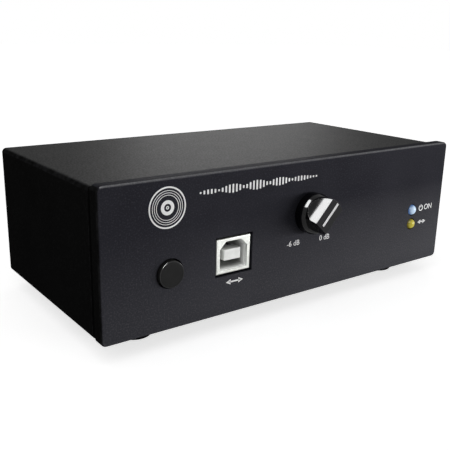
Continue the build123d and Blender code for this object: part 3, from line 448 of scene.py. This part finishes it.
# %% Socket can
socket_front, socket_back = depths_of("data_socket_shell")
can_half, can_half_tall, can_wall, can_face = 6, 5.3, 0.4, 0.35
socket_can = block("socket_can", (socket_x - can_half, socket_front, socket_z - can_half_tall),
                   (socket_x + can_half, socket_back, socket_z + can_half_tall))
round_edges(socket_can, lambda p: p.y < socket_front + near, 0.45, 5)
round_corners(socket_can, 0.7, 5, longer_than=3)
combine(socket_can, opening(mouth_wide, mouth_tall, mouth_cut, socket_front - 1, socket_front + can_wall))
inner_half, inner_half_tall = can_half - can_wall, can_half_tall - can_wall
combine(socket_can, block(
    "tool", (socket_x - inner_half, socket_front + can_face, socket_z - inner_half_tall),
    (socket_x + inner_half, socket_back + 1, socket_z + inner_half_tall)))
soften(socket_can, 0.08, angle=50)
finish(socket_can)

# %% Socket insert
insert_front, cavity_back, lead_in_deep = depths_of("data_socket_insert")[0], -25.5, 0.7
insert_half, insert_half_tall = 5.55, 4.85
socket_insert = block("socket_insert", (socket_x - insert_half, insert_front, socket_z - insert_half_tall),
                      (socket_x + insert_half, socket_back, socket_z + insert_half_tall))
lead_in = opening(mouth_wide, mouth_tall, mouth_cut, insert_front - 0.5, insert_front + lead_in_deep)
pick(lead_in, "FACE", lambda middle, normal: normal.y > 0.9)
squeeze(cavity_wide / mouth_wide, cavity_tall / mouth_tall, socket_x, insert_front, socket_z)
leave_edit()
combine(socket_insert, lead_in)
combine(socket_insert, opening(cavity_wide, cavity_tall, cavity_cut, insert_front - 1, cavity_back))
soften(socket_insert, 0.07)

# %% Socket tongue
tongue_half, tongue_half_tall, tongue_front = 2.85, 1.6, insert_front + 0.2
tongue = block("tongue", (socket_x - tongue_half, tongue_front, socket_z - tongue_half_tall),
               (socket_x + tongue_half, cavity_back + 1, socket_z + tongue_half_tall))
soften(tongue, 0.15, steps=3)
combine(socket_insert, tongue, "UNION")
finish(socket_insert)

# %% [markdown]
# ## Return spring
# The spring that pushes the button out is a coil of thin wire. A small circle is swept by the Screw
# modifier. Its front end moves with the button and its back end rests on the switch.

# %% Spring coil
spring_front, spring_back, spring_turns = -25.5, -21.1, 5
wire_radius, coil_radius, steps_a_turn = 0.18, 2.45, 24
bpy.ops.object.select_all(action="DESELECT")
bpy.ops.mesh.primitive_circle_add(vertices=10, radius=wire_radius * mm, fill_type="NOTHING",
                                  location=(coil_radius * mm, 0, 0), rotation=(math.radians(90), 0, 0))
spring_coil = named("spring_coil")
apply_modifier(spring_coil, "SCREW", angle=math.radians(360 * spring_turns),
               steps=steps_a_turn * spring_turns, render_steps=steps_a_turn * spring_turns,
               screw_offset=(spring_back - spring_front) * mm, axis="Z", use_normal_calculate=True)
pick(spring_coil, "EDGE", lambda a, b: False)
bpy.ops.mesh.select_non_manifold()
bpy.ops.mesh.edge_face_add()
leave_edit()
stood_up = Matrix.Rotation(math.radians(90), 4, "X")
spring_coil.matrix_world = Matrix.Translation(Vector((button_x, spring_back, button_z)) * mm) @ stood_up
apply_place(spring_coil)
finish(spring_coil, 60)

# %% [markdown]
# ## Bodies
# Each new piece takes the place of one solid of the model and moves with that solid's body. The
# spring, held behind and pushed in front, is left in place without a body.

# %% Ride and replace
places = {
    "panel_plate": ("case", "front_panel"), "cover_sheet": ("case", "top_cover"),
    "knob_body": ("level_knob", "level_knob"), "knob_line": ("level_knob", "knob_pointer"),
    "button_cap": ("power_button", "power_button"),
    "socket_can": ("case", "data_socket_shell"), "socket_insert": ("case", "data_socket_insert"),
}
for name, (body, node_name) in places.items():
    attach(bpy.data.objects[name], body)
    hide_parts(node_name)
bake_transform(spring_coil)
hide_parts("return_spring")
print("pieces placed", len(places) + 1)

# %% [markdown]
# ## Printed marks
# The marks are thin white ink, so they are modelled as very low raised shapes on the panel. A round
# record emblem, a row of strokes like a sound wave, and a few common symbols are printed, with the
# numbers that belong to the knob.

# %% Ink shapes
ink_sunk, ink_proud = 0.01, 0.03
ink_back, ink_front = panel_low.y + ink_sunk, panel_low.y - ink_proud


def ring(name, x, z, radius, width, gap=0.0):
    """A flat ring of ink, made from a disc whose middle is inset and deleted; a gap opens it above."""
    bpy.ops.object.select_all(action="DESELECT")
    bpy.ops.mesh.primitive_circle_add(
        vertices=72, radius=radius * mm, fill_type="NGON",
        location=(x * mm, ink_back * mm, z * mm), rotation=(math.radians(90), 0, 0))
    shape = named(name)
    pick(shape, "FACE", lambda middle, normal: True)
    bpy.ops.mesh.inset(thickness=width * mm)
    bpy.ops.mesh.delete(type="FACE")
    leave_edit()
    if gap:
        pick(shape, "FACE", lambda middle, normal: abs(middle.x - x) < gap and middle.z > z)
        bpy.ops.mesh.delete(type="FACE")
        leave_edit()
    pick(shape, "FACE", lambda middle, normal: True)
    draw_out(ink_front - ink_back)
    leave_edit()
    return shape


def bar(name, x, z, width, tall):
    """A straight stroke of ink with softened ends."""
    shape = block(name, (x - width / 2, ink_front, z - tall / 2), (x + width / 2, ink_back, z + tall / 2))
    round_corners(shape, 0.3 * min(width, tall), 3)
    return shape


def arrow_head(name, x, z, size, direction):
    """A small triangle of ink that points left, for -1, or right, for 1."""
    shape = block(name, (x - size / 2, ink_front, z - size / 2), (x + size / 2, ink_back, z + size / 2))
    pick(shape, "FACE", lambda middle, normal: normal.x * direction > 0.9)
    squeeze(1, 0.02, x + direction * size / 2, ink_back, z)
    leave_edit()
    return shape


# %% Numbers and letters
def words(name, text, x, z, tall):
    """Text set in Blender's own font, made into a mesh and stood on the panel."""
    capital_share = 0.72
    bpy.ops.object.select_all(action="DESELECT")
    bpy.ops.object.text_add()
    shape = bpy.context.object
    shape.data.body = text
    shape.data.size = tall / capital_share * mm
    shape.data.align_x = "CENTER"
    shape.data.align_y = "CENTER"
    shape.data.extrude = (ink_back - ink_front) / 2 * mm
    bpy.ops.object.convert(target="MESH")
    shape = bpy.context.object
    shape.name = shape.data.name = name
    shape.matrix_world = Matrix.Translation(Vector((x, (ink_front + ink_back) / 2, z)) * mm) @ stood_up
    apply_place(shape)
    return shape


# %% Printing
ink_pieces = []


def printed(name, shapes):
    """Join shapes of ink into one mark, finish it and let it ride on the case."""
    bpy.ops.object.select_all(action="DESELECT")
    for shape in shapes:
        shape.select_set(True)
    mark = shapes[0]
    bpy.context.view_layer.objects.active = mark
    if len(shapes) > 1:
        bpy.ops.object.join()
    mark.name = mark.data.name = name
    finish(mark)
    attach(mark, "case")
    ink_pieces.append(mark)


# %% Record emblem and wave
left_edge, lower_edge = panel_low.x, panel_low.z
emblem_x, emblem_z = left_edge + 19.7, lower_edge + 34.4
rings = ((5.6, 0.42), (4.6, 0.16), (4.0, 0.16), (3.4, 0.16), (2.0, 0.95), (0.45, 0.25))
printed("record_emblem", [ring("groove", emblem_x, emblem_z, radius, width) for radius, width in rings])
wave_left, wave_long, wave_z = left_edge + 29.9, 42.0, lower_edge + 37.0
stroke_count, stroke_wide, shortest, swing = 36, 0.56, 0.55, 2.3
strokes = []
for i in range(stroke_count):
    along = i / (stroke_count - 1)
    swell = math.sin(math.pi * along) ** 0.6
    beat = abs(0.7 * math.sin(5.1 * math.pi * along + 0.7) + 0.3 * math.cos(13 * along))
    tall = shortest + swing * swell * beat
    strokes.append(bar("stroke", wave_left + wave_long * along, wave_z, stroke_wide, tall))
printed("wave_print", strokes)

# %% Symbols and dial numbers
number_tall = 1.7
printed("low_mark", [words("low_mark", "-6 dB", left_edge + 63.9, lower_edge + 17.0, number_tall)])
printed("high_mark", [words("high_mark", "0 dB", left_edge + 76.9, lower_edge + 16.8, number_tall)])


def double_arrow(x, z, line_long, line_wide, head, spread):
    """The shapes of an arrow that points both ways."""
    return [bar("line", x, z, line_long, line_wide), arrow_head("head", x - spread, z, head, -1),
            arrow_head("head", x + spread, z, head, 1)]


printed("data_mark", double_arrow(left_edge + 41.9, lower_edge + 9.7, 4.2, 0.45, 1.6, 2.2))
label_left, symbol_line = left_edge + 122.7, 0.32
symbol_x, symbol_z = label_left + 1.1, upper_lamp_z + 0.1
printed("power_mark", [ring("arc", symbol_x, symbol_z, 1.1, symbol_line, gap=0.45),
                       bar("stroke", symbol_x, symbol_z + 0.75, symbol_line, 1.1),
                       words("letters", "ON", label_left + 5.0, symbol_z, 2.0)])
printed("link_mark", double_arrow(label_left + 2.2, lower_lamp_z, 2.6, 0.42, 1.5, 1.4))
print("printed marks", len(ink_pieces))

# %% [markdown]
# ## Shader groups
# Several finishes share the same effects: flecks in paint, grain in moulded plastic, brushing on
# metal, dust that settles on what faces up, and paint worn thin along edges. Each effect is a node
# group, built once, and every material that uses it gives it its own values.

# %% Building nodes
def node(tree, kind, inputs=None, **settings):
    """Add a shader node, set it up, and link or fill its inputs."""
    made = tree.nodes.new(kind)
    for key, value in settings.items():
        setattr(made, key, value)
    for key, value in (inputs or {}).items():
        if isinstance(value, bpy.types.NodeSocket):
            tree.links.new(value, made.inputs[key])
        else:
            made.inputs[key].default_value = value
    return made


def maths(tree, operation, first, second, clamp=False):
    """Work out one value from two."""
    made = node(tree, "ShaderNodeMath", {0: first, 1: second}, operation=operation, use_clamp=clamp)
    return made.outputs[0]


def times(tree, first, second, clamp=False):
    """One value times another."""
    return maths(tree, "MULTIPLY", first, second, clamp)


def larger(tree, first, second):
    """The larger of two values."""
    return maths(tree, "MAXIMUM", first, second)


def mixed(tree, share, first, second):
    """The first colour where the share is 0, the second where it is 1."""
    return node(tree, "ShaderNodeMix", {0: share, 6: first, 7: second}, data_type="RGBA").outputs[2]


def between(tree, value, low, high, new_low=0.0, new_high=1.0):
    """Stretch a value's range, held at both ends."""
    return node(tree, "ShaderNodeMapRange", {"Value": value, "From Min": low, "From Max": high,
                                             "To Min": new_low, "To Max": new_high}, clamp=True).outputs[0]


# %% Reading the surface
def object_place(tree):
    """Where a point lies, in the object's own metres."""
    return node(tree, "ShaderNodeTexCoord").outputs["Object"]


def parts_of(tree, vector):
    """A vector's x, y and z."""
    return node(tree, "ShaderNodeSeparateXYZ", {0: vector}).outputs


def facing(tree):
    """The three parts of the way in which the surface faces."""
    return parts_of(tree, node(tree, "ShaderNodeNewGeometry").outputs["Normal"])


def rim_mask(tree):
    """1 on rounded edges, as mark_rims left it."""
    return node(tree, "ShaderNodeAttribute", attribute_name="rim").outputs["Fac"]


def noise(tree, place, scale, detail=3.0, stretch=None):
    """Cloudy noise from 0 to 1, whose middle half lies between about 0.4 and 0.6."""
    if stretch:
        place = node(tree, "ShaderNodeMapping", {"Vector": place, "Scale": stretch}).outputs[0]
    return node(tree, "ShaderNodeTexNoise", {"Vector": place, "Scale": scale, "Detail": detail}).outputs[0]


# %% Starting a group
def effect(name, inputs, outputs):
    """A new shader group with named sockets: name: (kind, value) in, name: kind out."""
    tree = bpy.data.node_groups.new(name, "ShaderNodeTree")
    kinds = {"colour": "NodeSocketColor", "value": "NodeSocketFloat"}
    for label, (kind, value) in inputs.items():
        tree.interface.new_socket(label, in_out="INPUT", socket_type=kinds[kind]).default_value = value
    for label, kind in outputs.items():
        tree.interface.new_socket(label, in_out="OUTPUT", socket_type=kinds[kind])
    start, end = tree.nodes.new("NodeGroupInput"), tree.nodes.new("NodeGroupOutput")
    return tree, start.outputs, end.inputs


near_black = (0.02, 0.02, 0.02, 1)

# %% Flecked paint
flecked_paint, given, result = effect(
    "flecked_paint",
    {"Paint": ("colour", near_black), "Fleck": ("colour", (0.05, 0.05, 0.05, 1)),
     "Fleck scale": ("value", 1800.0), "Fleck amount": ("value", 0.5), "Roughness": ("value", 0.5)},
    {"Colour": "colour", "Roughness": "value", "Height": "value"})
tree = flecked_paint
place = object_place(tree)
fine = noise(tree, place, given["Fleck scale"], 2.0)
cloud = noise(tree, place, 45.0)
fleck = times(tree, between(tree, fine, 0.52, 0.72), given["Fleck amount"])
toned = mixed(tree, between(tree, cloud, 0.3, 0.7, 0.0, 0.18), given["Paint"], given["Fleck"])
uneven = between(tree, fine, 0.3, 0.7, -0.06, 0.06)
tree.links.new(mixed(tree, fleck, toned, given["Fleck"]), result["Colour"])
tree.links.new(maths(tree, "ADD", given["Roughness"], uneven), result["Roughness"])
tree.links.new(fine, result["Height"])

# %% Moulded grain
moulded_grain, given, result = effect(
    "moulded_grain", {"Grain scale": ("value", 2500.0), "Roughness": ("value", 0.4)},
    {"Roughness": "value", "Height": "value"})
tree = moulded_grain
place = object_place(tree)
grain = noise(tree, place, given["Grain scale"], 2.0)
uneven = between(tree, noise(tree, place, 160.0), 0.3, 0.7, -0.05, 0.08)
tree.links.new(maths(tree, "ADD", given["Roughness"], uneven), result["Roughness"])
tree.links.new(grain, result["Height"])

# %% Brushed metal
brushed_metal, given, result = effect(
    "brushed_metal",
    {"Metal": ("colour", (0.7, 0.7, 0.7, 1)), "Tarnish": ("colour", (0.4, 0.38, 0.33, 1)),
     "Roughness": ("value", 0.25)},
    {"Colour": "colour", "Roughness": "value", "Height": "value"})
tree = brushed_metal
place = object_place(tree)
lines = noise(tree, place, 900.0, 4.0, (1.0, 0.06, 1.0))
stain = between(tree, noise(tree, place, 260.0, 4.0), 0.5, 0.8, 0.0, 0.5)
speckle = between(tree, noise(tree, place, 1500.0, 2.0), 0.45, 0.75, 0.0, 0.5)
uneven = between(tree, lines, 0.3, 0.7, -0.06, 0.1)
clouded = mixed(tree, stain, given["Metal"], given["Tarnish"])
tree.links.new(mixed(tree, speckle, clouded, given["Tarnish"]), result["Colour"])
tree.links.new(maths(tree, "ADD", given["Roughness"], uneven), result["Roughness"])
tree.links.new(lines, result["Height"])

# %% Settled dust
settled_dust, given, result = effect(
    "settled_dust",
    {"Colour": ("colour", near_black), "Dust": ("colour", (0.35, 0.34, 0.32, 1)), "Amount": ("value", 0.1)},
    {"Colour": "colour"})
tree = settled_dust
place = object_place(tree)
upward = between(tree, facing(tree)[2], 0.5, 0.98)
drift = between(tree, noise(tree, place, 120.0, 5.0), 0.42, 0.75)
specks = between(tree, noise(tree, place, 2600.0, 1.0), 0.66, 0.74)
dusty = times(tree, times(tree, upward, larger(tree, drift, specks)), given["Amount"], clamp=True)
tree.links.new(mixed(tree, dusty, given["Colour"], given["Dust"]), result["Colour"])

# %% Worn edges
worn_edges, given, result = effect(
    "worn_edges",
    {"Colour": ("colour", near_black), "Worn": ("colour", (0.2, 0.2, 0.2, 1)), "Amount": ("value", 0.5)},
    {"Colour": "colour"})
tree = worn_edges
broken = between(tree, noise(tree, object_place(tree), 420.0, 5.0), 0.38, 0.7)
worn = times(tree, times(tree, rim_mask(tree), broken), given["Amount"], clamp=True)
tree.links.new(mixed(tree, worn, given["Colour"], given["Worn"]), result["Colour"])
print("effects ready", [group.name for group in bpy.data.node_groups])

# %% [markdown]
# ## Finishes
# Each finish is a Principled shader. What is the same all over a surface is set on the shader's own
# socket, and only what changes over it comes from nodes.

# %% Material helpers
def material(name, **constants):
    """A new material; its constants go straight onto the shader's sockets."""
    made = bpy.data.materials.new(name)
    made.use_nodes = True
    tree = made.node_tree
    shader = tree.nodes["Principled BSDF"]
    for key, value in constants.items():
        shader.inputs[key.replace("_", " ")].default_value = value
    return made, tree, shader


def place_group(tree, kind, values):
    """Place a shader group; a value is a number, a colour or a socket."""
    return node(tree, "ShaderNodeGroup", values, node_tree=kind).outputs


def coloured(tree, shader, colour, dust):
    """Let dust settle on a colour and give it to the shader."""
    dusted = place_group(tree, settled_dust, {"Colour": colour, "Amount": dust})
    tree.links.new(dusted["Colour"], shader.inputs["Base Color"])


def bumped(tree, shader, height, strength, depth):
    """Raise the surface by a height map, whose depth is in mm."""
    bump = node(tree, "ShaderNodeBump", {"Height": height, "Strength": strength, "Distance": depth * mm})
    tree.links.new(bump.outputs[0], shader.inputs["Normal"])


def scaled(colour, share):
    """A colour made darker or paler, as four parts."""
    return (*[min(1, part * share) for part in colour[:3]], 1)


# %% [markdown]
# ### Paint
# Sheet metal like this is powder coated: a nearly black, finely flecked skin. It hardly reflects from
# the front, but the top has a satin sheen, and so has the low front, where hands polish it. The
# panel's upper front edge is rubbed to a bright line. The sheen could be a lower roughness, but that
# would make the whole coat shine. Here a coat over the paint is let through only where it belongs.

# %% Painted sheet and panel
def painted(name, paint, fleck, fleck_scale, top_sheen, front_sheen, sheen_roughness, polish, dust):
    """Powder coat, with a sheen on top and low on the front, and a polished line along the upper edge."""
    made, tree, shader = material(name, Specular_IOR_Level=0.0, Coat_Roughness=sheen_roughness)
    across, forward, upward = facing(tree)
    height = parts_of(tree, object_place(tree))[2]
    handled = between(tree, height, 10 * mm, 34 * mm, front_sheen, 0.05 * front_sheen)
    top_coat = between(tree, upward, 0.8, 0.98, 0.0, top_sheen)
    front_coat = times(tree, between(tree, forward, -0.8, -0.98), handled)
    lip = times(tree, between(tree, upward, 0.2, 0.5), between(tree, forward, -0.2, -0.5))
    straight_lip = times(tree, lip, between(tree, across, -0.35, -0.1))
    line_coat = times(tree, times(tree, rim_mask(tree), straight_lip), polish)
    gloss = larger(tree, larger(tree, top_coat, front_coat), line_coat)
    coat = place_group(tree, flecked_paint, {"Paint": paint, "Fleck": fleck, "Fleck scale": fleck_scale,
                                             "Fleck amount": 0.5, "Roughness": 0.5})
    grainy = between(tree, coat["Height"], 0.35, 0.65, 0.75, 1.25)
    tree.links.new(times(tree, gloss, grainy), shader.inputs["Coat Weight"])
    edge = place_group(tree, worn_edges, {"Colour": coat["Colour"], "Worn": (0.1, 0.1, 0.11, 1),
                                          "Amount": 0.12})
    coloured(tree, shader, edge["Colour"], dust)
    tree.links.new(coat["Roughness"], shader.inputs["Roughness"])
    bumped(tree, shader, coat["Height"], 0.35, 0.04)
    return made


finishes = {
    "panel_paint": painted("panel_paint", (0.0175, 0.0175, 0.0225, 1), (0.045, 0.045, 0.054, 1), 2300.0,
                           top_sheen=0.04, front_sheen=0.28, sheen_roughness=0.42, polish=1.0, dust=0.02),
    "cover_paint": painted("cover_paint", (0.006, 0.006, 0.006, 1), (0.016, 0.016, 0.016, 1), 1900.0,
                           top_sheen=0.17, front_sheen=0.0, sheen_roughness=0.5, polish=0.0, dust=0.01),
}
print("paints", list(finishes))

# %% [markdown]
# ### Plastics, rubber and ink
# The knob is moulded in polished black, the button and the rubber feet are dull, and the socket's
# insert is pale nylon, with painted shade darkening it towards the back of its cavity. All share
# one recipe, because moulded parts differ mainly in colour, gloss and the fineness of their grain.

# %% Moulded finishes
def moulded(name, colour, roughness, scale=2500.0, bump=0.1, specular=0.5, dust=0.05,
            edge_gloss=0.0, cavity_shade=None):
    """Moulded plastic; the last argument gives the two depths in mm between which painted shade darkens it,
    and the share left.
    """
    made, tree, shader = material(name, Specular_IOR_Level=specular)
    if edge_gloss:
        forward = facing(tree)[1]
        slope = times(tree, between(tree, forward, -0.35, -0.6), between(tree, forward, -0.95, -0.85))
        lip = times(tree, rim_mask(tree), slope)
        tree.links.new(times(tree, lip, edge_gloss), shader.inputs["Coat Weight"])
        shader.inputs["Coat Roughness"].default_value = 0.15
    grain = place_group(tree, moulded_grain, {"Grain scale": scale, "Roughness": roughness})
    place = object_place(tree)
    cloud = between(tree, noise(tree, place, 220.0), 0.3, 0.7)
    varied = mixed(tree, cloud, scaled(colour, 0.85), scaled(colour, 1.12))
    # Painted shade: the colour darkens with depth, where shade falls in the socket's cavity.
    if cavity_shade:
        first_depth, last_depth, share_left = cavity_shade
        shade = between(tree, parts_of(tree, place)[1], first_depth * mm, last_depth * mm)
        varied = mixed(tree, shade, varied, scaled(colour, share_left))
    coloured(tree, shader, varied, dust)
    tree.links.new(grain["Roughness"], shader.inputs["Roughness"])
    bumped(tree, shader, grain["Height"], bump, 0.02)
    return made


for name, colour, roughness, own in (
        ("knob_plastic", (0.003, 0.003, 0.004), 0.07, {"bump": 0.01, "specular": 0.2, "dust": 0.01}),
        ("button_plastic", (0.018, 0.018, 0.018), 0.4,
         {"bump": 0.08, "specular": 0.03, "dust": 0.01, "edge_gloss": 0.6}),
        ("black_plastic", (0.02, 0.02, 0.021), 0.42, {}),
        ("foot_rubber", (0.003, 0.003, 0.003), 0.75,
         {"scale": 900.0, "bump": 0.3, "specular": 0.02, "dust": 0.01}),
        ("white_plastic", (0.78, 0.77, 0.74), 0.38, {}),
        ("socket_nylon_and_shade", (0.86, 0.87, 0.85), 0.4, {"cavity_shade": (-33.7, -31.2, 0.5)}),
        ("red_plastic", (0.52, 0.02, 0.02), 0.35, {}),
        ("pointer_white", (0.6, 0.6, 0.6), 0.4, {"dust": 0.0}),
        ("ink_white", (0.72, 0.72, 0.72), 0.5, {"dust": 0.0}),
        ("film_case", (0.42, 0.06, 0.03), 0.35, {}),
        ("wafer_laminate", (0.28, 0.14, 0.05), 0.5, {}),
        # the tray's near-black is painted shade for the gap between panel and cover
        ("tray_shadow_black", (0.004, 0.004, 0.004), 0.6, {"specular": 0.05, "dust": 0.02})):
    finishes[name] = moulded(name, colour, roughness, **own)
print("finishes so far", len(finishes))

# %% [markdown]
# ### Metals
# Plated steel, tinned cans and gilt contacts all show fine brushing and a little tarnish, brightest
# where the plating is rubbed at the edges. Tarnish is mixed into the colour, not laid over it, since
# a metal's colour is its reflection.

# %% Metal finishes
def metal(name, colour, tarnish, roughness):
    """Plated metal: brushed, a little tarnished, and paler on its rims."""
    made, tree, shader = material(name, Metallic=1.0)
    plate = place_group(tree, brushed_metal, {"Metal": colour, "Tarnish": tarnish, "Roughness": roughness})
    edge = place_group(tree, worn_edges, {"Colour": plate["Colour"], "Worn": scaled(colour, 1.3),
                                          "Amount": 0.4})
    coloured(tree, shader, edge["Colour"], 0.03)
    tree.links.new(plate["Roughness"], shader.inputs["Roughness"])
    bumped(tree, shader, plate["Height"], 0.08, 0.01)
    return made


for name, colour, tarnish, roughness in (
        ("zinc_steel", (0.52, 0.53, 0.55, 1), (0.36, 0.36, 0.34, 1), 0.38),
        ("socket_plate", (0.46, 0.47, 0.45, 1), (0.3, 0.31, 0.285, 1), 0.42),
        ("bright_plate", (0.6, 0.59, 0.57, 1), (0.36, 0.35, 0.32, 1), 0.25),
        ("contact_metal", (0.83, 0.62, 0.3, 1), (0.5, 0.36, 0.18, 1), 0.28),
        ("screw_steel", (0.1, 0.1, 0.11, 1), (0.05, 0.045, 0.04, 1), 0.35),
        ("crystal_can", (0.62, 0.62, 0.6, 1), (0.4, 0.38, 0.34, 1), 0.22)):
    finishes[name] = metal(name, colour, tarnish, roughness)
print("finishes so far", len(finishes))

# %% [markdown]
# ### Lamps
# Each lamp is a small coloured dome that glows softly. Real light from inside could be traced, but
# the dome is only a few millimetres wide, so a pale middle that fades to a dark rim shows the same.

# %% Lenses
def lens(name, centre_colour, ring_colour, z):
    """A lamp's dome: pale in the middle, where its chip shines through, and dark round the rim."""
    made, tree, shader = material(name, Roughness=0.12, Emission_Strength=0.8, Specular_IOR_Level=0.2)
    pale_radius, dark_radius, wavering = 1.4 * mm, 1.9 * mm, 0.3 * mm
    place = object_place(tree)
    middle = (lamp_x * mm, 0, z * mm)
    away = node(tree, "ShaderNodeVectorMath", {0: place, 1: middle}, operation="SUBTRACT").outputs[0]
    flat = node(tree, "ShaderNodeVectorMath", {0: away, 1: (1, 0, 1)}, operation="MULTIPLY").outputs[0]
    distance = node(tree, "ShaderNodeVectorMath", {0: flat}, operation="LENGTH").outputs["Value"]
    uneven = times(tree, noise(tree, place, 1500.0), wavering)
    share = between(tree, maths(tree, "ADD", distance, uneven), pale_radius, dark_radius)
    colour = mixed(tree, share, centre_colour, ring_colour)
    tree.links.new(colour, shader.inputs["Base Color"])
    tree.links.new(colour, shader.inputs["Emission Color"])
    return made


finishes["blue_lens"] = lens("blue_lens", (0.3, 0.39, 0.5, 1), (0.03, 0.09, 0.24, 1), upper_lamp_z)
finishes["amber_lens"] = lens("amber_lens", (0.28, 0.24, 0.022, 1), (0.07, 0.055, 0.008, 1), lower_lamp_z)
print("finishes so far", len(finishes))

# %% [markdown]
# ### Circuit board
# The board and its resistors lie inside the case, where nobody looks for long. A pattern of bricks
# gives the board its tracks, and a wave gives each resistor its coloured bands.

# %% Board and resistors
finishes["board_laminate"], tree, shader = material("board_laminate", Roughness=0.35)
tracks = node(tree, "ShaderNodeTexBrick", {
    "Vector": object_place(tree), "Color1": (0.01, 0.13, 0.05, 1), "Color2": (0.012, 0.15, 0.055, 1),
    "Mortar": (0.03, 0.26, 0.1, 1), "Scale": 160.0, "Mortar Size": 0.03})
tree.links.new(tracks.outputs["Color"], shader.inputs["Base Color"])
bumped(tree, shader, tracks.outputs["Fac"], 0.3, 0.02)

finishes["resistor_body"], tree, shader = material("resistor_body", Roughness=0.35)
bands = node(tree, "ShaderNodeTexWave", {"Vector": object_place(tree), "Scale": 260.0, "Distortion": 1.0},
             bands_direction="X").outputs["Fac"]
banded = mixed(tree, between(tree, bands, 0.7, 0.8), (0.1, 0.3, 0.42, 1), (0.25, 0.08, 0.03, 1))
tree.links.new(banded, shader.inputs["Base Color"])
print("finishes", len(finishes))

# %% [markdown]
# ## Dressing
# A solid of the model keeps the name of its finish on its slot, and only three of them are given
# another. A new piece gets its own finish, and the table lists the slot of the model that it stands
# for. The panel's narrow sides take the cover's darker paint, painted shade as dark as the cover.

# %% Dress the model's solids
# Painted shade: the chassis tray takes near-black instead of its plated steel, so the gap between panel and
# cover shows dark.
other_finish = {"chassis_tray": "tray_shadow_black", "data_socket_contacts": "screw_steel",
                "rear_panel": "panel_paint"}
for node_name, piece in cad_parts.items():
    slot_name = piece.material_slots[0].material.name.split(".")[0]
    for slot in piece.material_slots:
        slot.material = finishes[other_finish.get(node_name, slot_name)]
print("solids dressed", len(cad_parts))


# %% Dress the new pieces
def dress(piece, finish_name):
    """Give a new piece its finish."""
    piece.data.materials.clear()
    piece.data.materials.append(finishes[finish_name])


looks = {
    "panel_plate": ("panel_paint", "panel_paint"), "cover_sheet": ("cover_paint", "cover_paint"),
    "knob_body": ("knob_plastic", "knob_plastic"), "knob_line": ("pointer_white", "pointer_white"),
    "button_cap": ("button_plastic", "black_plastic"), "socket_can": ("socket_plate", "zinc_steel"),
    "socket_insert": ("socket_nylon_and_shade", "white_plastic"), "spring_coil": ("screw_steel", "screw_steel"),
}
for name, (finish_name, slot_name) in looks.items():
    dress(bpy.data.objects[name], finish_name)
for piece in ink_pieces:
    dress(piece, "ink_white")
# Painted shade: the panel's left and right faces take the cover's darker paint.
panel_plate.data.materials.append(finishes["cover_paint"])
shaded_side_x = 60 * mm
for face in panel_plate.data.polygons:
    face.material_index = int(abs(face.normal.x) > 0.6 and abs(face.center.x) > shaded_side_x)
print("pieces dressed", len(looks) + len(ink_pieces))

# %% [markdown]
# ## Floor and light
# A small studio: a plain pale floor and a dim sky all round, which the camera and the glossy
# surfaces see as one white background. Dark paint shows little but its highlights, so the light that
# falls on a surface and the light that glints in it come from different lamps. Each can then be set
# by itself: two lamps only light, two only glint, and a low one at the side does both. Seen by the
# camera, the paper glows more the farther away it is, so that it runs into the sky without an edge.

# %% Floor
glow_near, glow_far = 0.2, 0.9
bpy.ops.object.select_all(action="DESELECT")
bpy.ops.mesh.primitive_plane_add(size=6, location=(0, 0, 0))
floor = bpy.context.object
floor.name = "floor"
floor_finish, tree, shader = material("floor_paper", Roughness=0.8, Specular_IOR_Level=0.0)
place = object_place(tree)
paper = mixed(tree, noise(tree, place, 300.0), (0.8, 0.8, 0.8, 1), (0.84, 0.84, 0.84, 1))
tree.links.new(paper, shader.inputs["Base Color"])
path = node(tree, "ShaderNodeLightPath").outputs
seen = larger(tree, path["Is Camera Ray"], path["Is Glossy Ray"])
away = node(tree, "ShaderNodeVectorMath", {0: place}, operation="LENGTH").outputs["Value"]
paper_glow = between(tree, away, glow_near, glow_far, 0.69, 0.9)
glow = node(tree, "ShaderNodeEmission", {"Color": (1, 1, 1, 1), "Strength": times(tree, seen, paper_glow)})
both = node(tree, "ShaderNodeAddShader", {0: shader.outputs[0], 1: glow.outputs[0]})
tree.links.new(both.outputs[0], tree.nodes["Material Output"].inputs["Surface"])
floor.data.materials.append(floor_finish)

# %% Sky
sky_light, sky_seen = 0.15, 1.0
world = bpy.data.worlds.new("studio")
bpy.context.scene.world = world
world.use_nodes = True
tree = world.node_tree
sky = tree.nodes["Background"]
path = node(tree, "ShaderNodeLightPath").outputs
seen = larger(tree, larger(tree, path["Is Camera Ray"], path["Is Glossy Ray"]), path["Is Transmission Ray"])
sky.inputs["Color"].default_value = (1, 1, 1, 1)
tree.links.new(between(tree, seen, 0.0, 1.0, sky_light, sky_seen), sky.inputs["Strength"])


# %% Lamps
def lamp(name, place, aim, power, width, tall, lights=True, glints=True):
    """A flat lamp that shines from a place to a point, in mm; it may only light or only glint."""
    bpy.ops.object.light_add(type="AREA", location=Vector(place) * mm)
    made = bpy.context.object
    made.name = name
    made.data.shape = "RECTANGLE"
    made.data.size, made.data.size_y = width * mm, tall * mm
    made.data.energy = power
    made.rotation_euler = (Vector(aim) * mm - made.location).to_track_quat("-Z", "Y").to_euler()
    made.visible_diffuse, made.visible_glossy = lights, glints


lamp("key_lamp", (-212, -142, 396), (2, -40, 31), 0.85, 650, 650, glints=False)
lamp("back_lamp", (380, 520, 230), (0, 10, 47), 1.4, 260, 120, lights=False)
lamp("rear_lamp", (260, 560, 480), (0, 20, 20), 1.1, 1100, 800, glints=False)
lamp("side_lamp", (400, -340, 28), (20, -35, 22), 3.1, 420, 90)
lamp("gloss_lamp", (-205, -138, 383), (2, -40, 31), 7.2, 140, 320, lights=False)
bpy.context.scene.view_settings.view_transform = "Standard"
print("lamps", [light.name for light in bpy.data.lights])
